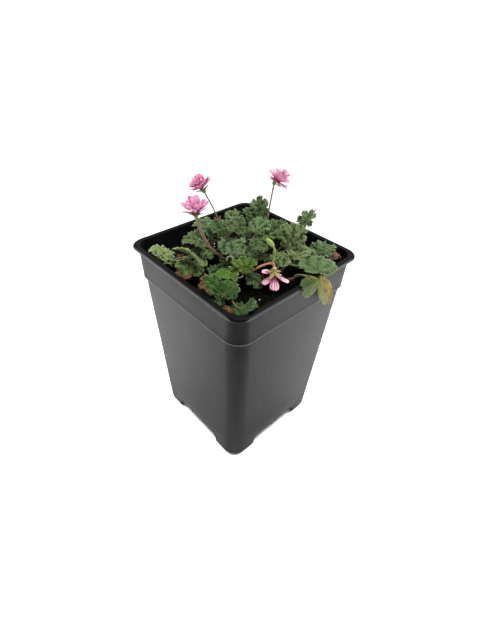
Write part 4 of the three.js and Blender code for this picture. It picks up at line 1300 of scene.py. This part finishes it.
def barkPaint():
    paint, place = newPaint("bark_paint", {"Specular IOR Level": 0.3})
    rings = speckle(place, 160.0, 5.0, 0.6, (1, 1, 2.5))
    colour = rings.ranged(0.35, 0.7).mixed(barkLook["groove"], barkLook["ridge"])
    return finishedPaint(paint, colour, 0.7 + rings * 0.2, rings + place.cells(420.0) * 0.5, 0.8, 0.0008)


dressed(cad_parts["rootstock"], barkPaint())


# the down: short pale hairs on stalks, calyxes and leaf edges, one thin spike each

hairLook = {"radius": 0.035, "green": (0.3, 0.34, 0.2), "pale": (0.5, 0.5, 0.38)}


def hairPaint():
    paint, place = newPaint("hair_paint", {"Specular IOR Level": 0.3})
    cloud = speckle(place, 300.0, 2.0)
    return finishedPaint(paint, cloud.mixed(hairLook["green"], hairLook["pale"]), 0.5 + cloud * 0.2)


def makeHairs():
    corners, faces = [], []
    radius = hairLook["radius"]
    for spot, way, length in hairSpots:
        side = way.orthogonal().normalized()
        other = way.cross(side)
        base = len(corners)
        for k in range(3):
            turn = k * math.tau / 3
            corners.append((spot + side * (radius * math.cos(turn)) + other * (radius * math.sin(turn))) * mm)
        corners.append((spot + way * length) * mm)
        faces += [(base, base + 1, base + 3), (base + 1, base + 2, base + 3), (base + 2, base, base + 3),
                  (base + 2, base + 1, base)]
    hairs = dressed(meshThing("down_hairs", corners, faces), hairPaint())
    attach(hairs, "root")
    return hairs


hairs = makeHairs()
print("stage: hairs", len(hairs.data.polygons))


# floor, light and camera

studioLook = {
    "floor": (0.94, 0.94, 0.94), "world": 0.7, "backdrop": 0.45, "floorRadius": 2.6, "sweepRadius": 2.0,
    "cameraTurn": 46.394, "cameraRise": 31.191, "cameraRoll": 2.156, "distance": 329.806,
    "middle": (0, 0, 60), "lookRight": -1.916, "lookUp": 68.465, "lens": 24.913, "shiftY": -0.096,
}
# degrees from the camera's side, metres and watts; the aim is a turn, a reach and a height
lamps = [
    {"name": "left_floor_lamp", "turn": -98, "rise": 74, "reach": 0.6, "side": 0.2, "power": 1.3,
     "spread": 40, "aim": (-94, 0.198, 0)},
    {"name": "right_floor_lamp", "turn": 98, "rise": 74, "reach": 0.6, "side": 0.2, "power": 1.35,
     "spread": 40, "aim": (94, 0.21, 0)},
    {"name": "top_softbox", "turn": 150, "rise": 70, "reach": 1.0, "side": 0.3, "power": 8.5,
     "spread": 180, "aim": (0, 0, 0.1)},
]


def makeFloor():
    # a flat round floor that sweeps up all round
    flat, sweep = studioLook["floorRadius"], studioLook["sweepRadius"]
    dropPick()
    bpy.ops.mesh.primitive_circle_add(vertices=96, radius=flat, fill_type="NGON")
    floor = bpy.context.object
    floor.name = "studio_floor"
    bpy.ops.object.mode_set(mode="EDIT")
    bpy.ops.mesh.select_all(action="SELECT")
    reach, turns = flat, 10
    for step in range(turns):
        turn, nextTurn = step / turns * math.pi / 2, (step + 1) / turns * math.pi / 2
        nextReach = flat + sweep * math.sin(nextTurn)
        rise = sweep * (math.cos(turn) - math.cos(nextTurn))
        bpy.ops.mesh.extrude_region_move(TRANSFORM_OT_translate={"value": (0, 0, rise)})
        bpy.ops.transform.resize(value=(nextReach / reach, nextReach / reach, 1))
        reach = nextReach
    bpy.ops.mesh.delete(type="ONLY_FACE")
    bpy.ops.object.mode_set(mode="OBJECT")
    bpy.ops.object.shade_smooth()
    backdrop = {"Specular IOR Level": 0.1, "Emission Strength": studioLook["backdrop"]}
    paint, place = newPaint("floor_paint", backdrop)
    cloud = speckle(place, 4.0, 2.0)
    light = studioLook["floor"]
    x, y = place.part("X"), place.part("Y")
    away = (x * x + y * y).ranged(0.5, 3.0)
    feed(paint, "Emission Color", away.mixed((0.0, 0.0, 0.0), (1.0, 1.0, 1.0)))
    finishedPaint(paint, cloud.mixed([part * 0.99 for part in light], light), 0.8 + cloud * 0.1)
    dressed(floor, paint)


def seenFrom(turn, rise):
    # the way to a viewer at a turn from the camera's side and a rise above the floor
    azimuth, elevation = math.radians(studioLook["cameraTurn"] + turn), math.radians(rise)
    return Vector((math.sin(azimuth) * math.cos(elevation), -math.cos(azimuth) * math.cos(elevation),
                   math.sin(elevation)))


def softLamp(look):
    lamp = bpy.data.lights.new(look["name"], "AREA")
    lamp.shape = "RECTANGLE"
    lamp.size = lamp.size_y = look["side"]
    lamp.energy = look["power"]
    lamp.spread = math.radians(look["spread"])
    thing = placed(look["name"], lamp)
    aimTurn, aimReach, aimHeight = look["aim"]
    away = seenFrom(look["turn"], look["rise"])
    thing.location = seenFrom(aimTurn, 0) * aimReach + Vector((0, 0, aimHeight)) + away * look["reach"]
    thing.rotation_mode = "QUATERNION"
    thing.rotation_quaternion = (-away).to_track_quat("-Z", "Y")


def makeCamera():
    look = studioLook
    azimuth = math.radians(look["cameraTurn"])
    back = seenFrom(0, look["cameraRise"])
    right = Vector((math.cos(azimuth), math.sin(azimuth), 0))
    up = back.cross(right)
    lens = bpy.data.cameras.new("photo_camera")
    lens.lens = look["lens"]
    lens.sensor_width = 36.0
    lens.shift_y = look["shiftY"]
    lens.clip_start, lens.clip_end = 0.01, 50.0
    camera = placed("photo_camera", lens)
    spot = Vector(look["middle"]) + right * look["lookRight"] + up * look["lookUp"] + back * look["distance"]
    camera.location = spot * mm
    roll = math.radians(look["cameraRoll"])
    sideways = right * math.cos(roll) + up * math.sin(roll)
    upright = up * math.cos(roll) - right * math.sin(roll)
    turned = Matrix((sideways, upright, back)).transposed()
    camera.rotation_mode = "QUATERNION"
    camera.rotation_quaternion = turned.to_quaternion()
    bpy.context.scene.camera = camera


def makeSky():
    sky = bpy.data.worlds.new("studio_sky")
    sky.use_nodes = True
    shade = sky.node_tree.nodes["Background"]
    shade.inputs["Color"].default_value = (1.0, 1.0, 1.0, 1.0)
    shade.inputs["Strength"].default_value = studioLook["world"]
    bpy.context.scene.world = sky


makeFloor()
makeSky()
for lampLook in lamps:
    softLamp(lampLook)
makeCamera()
bpy.context.scene.view_settings.view_transform = "Standard"
print("stage: floor, light and camera")
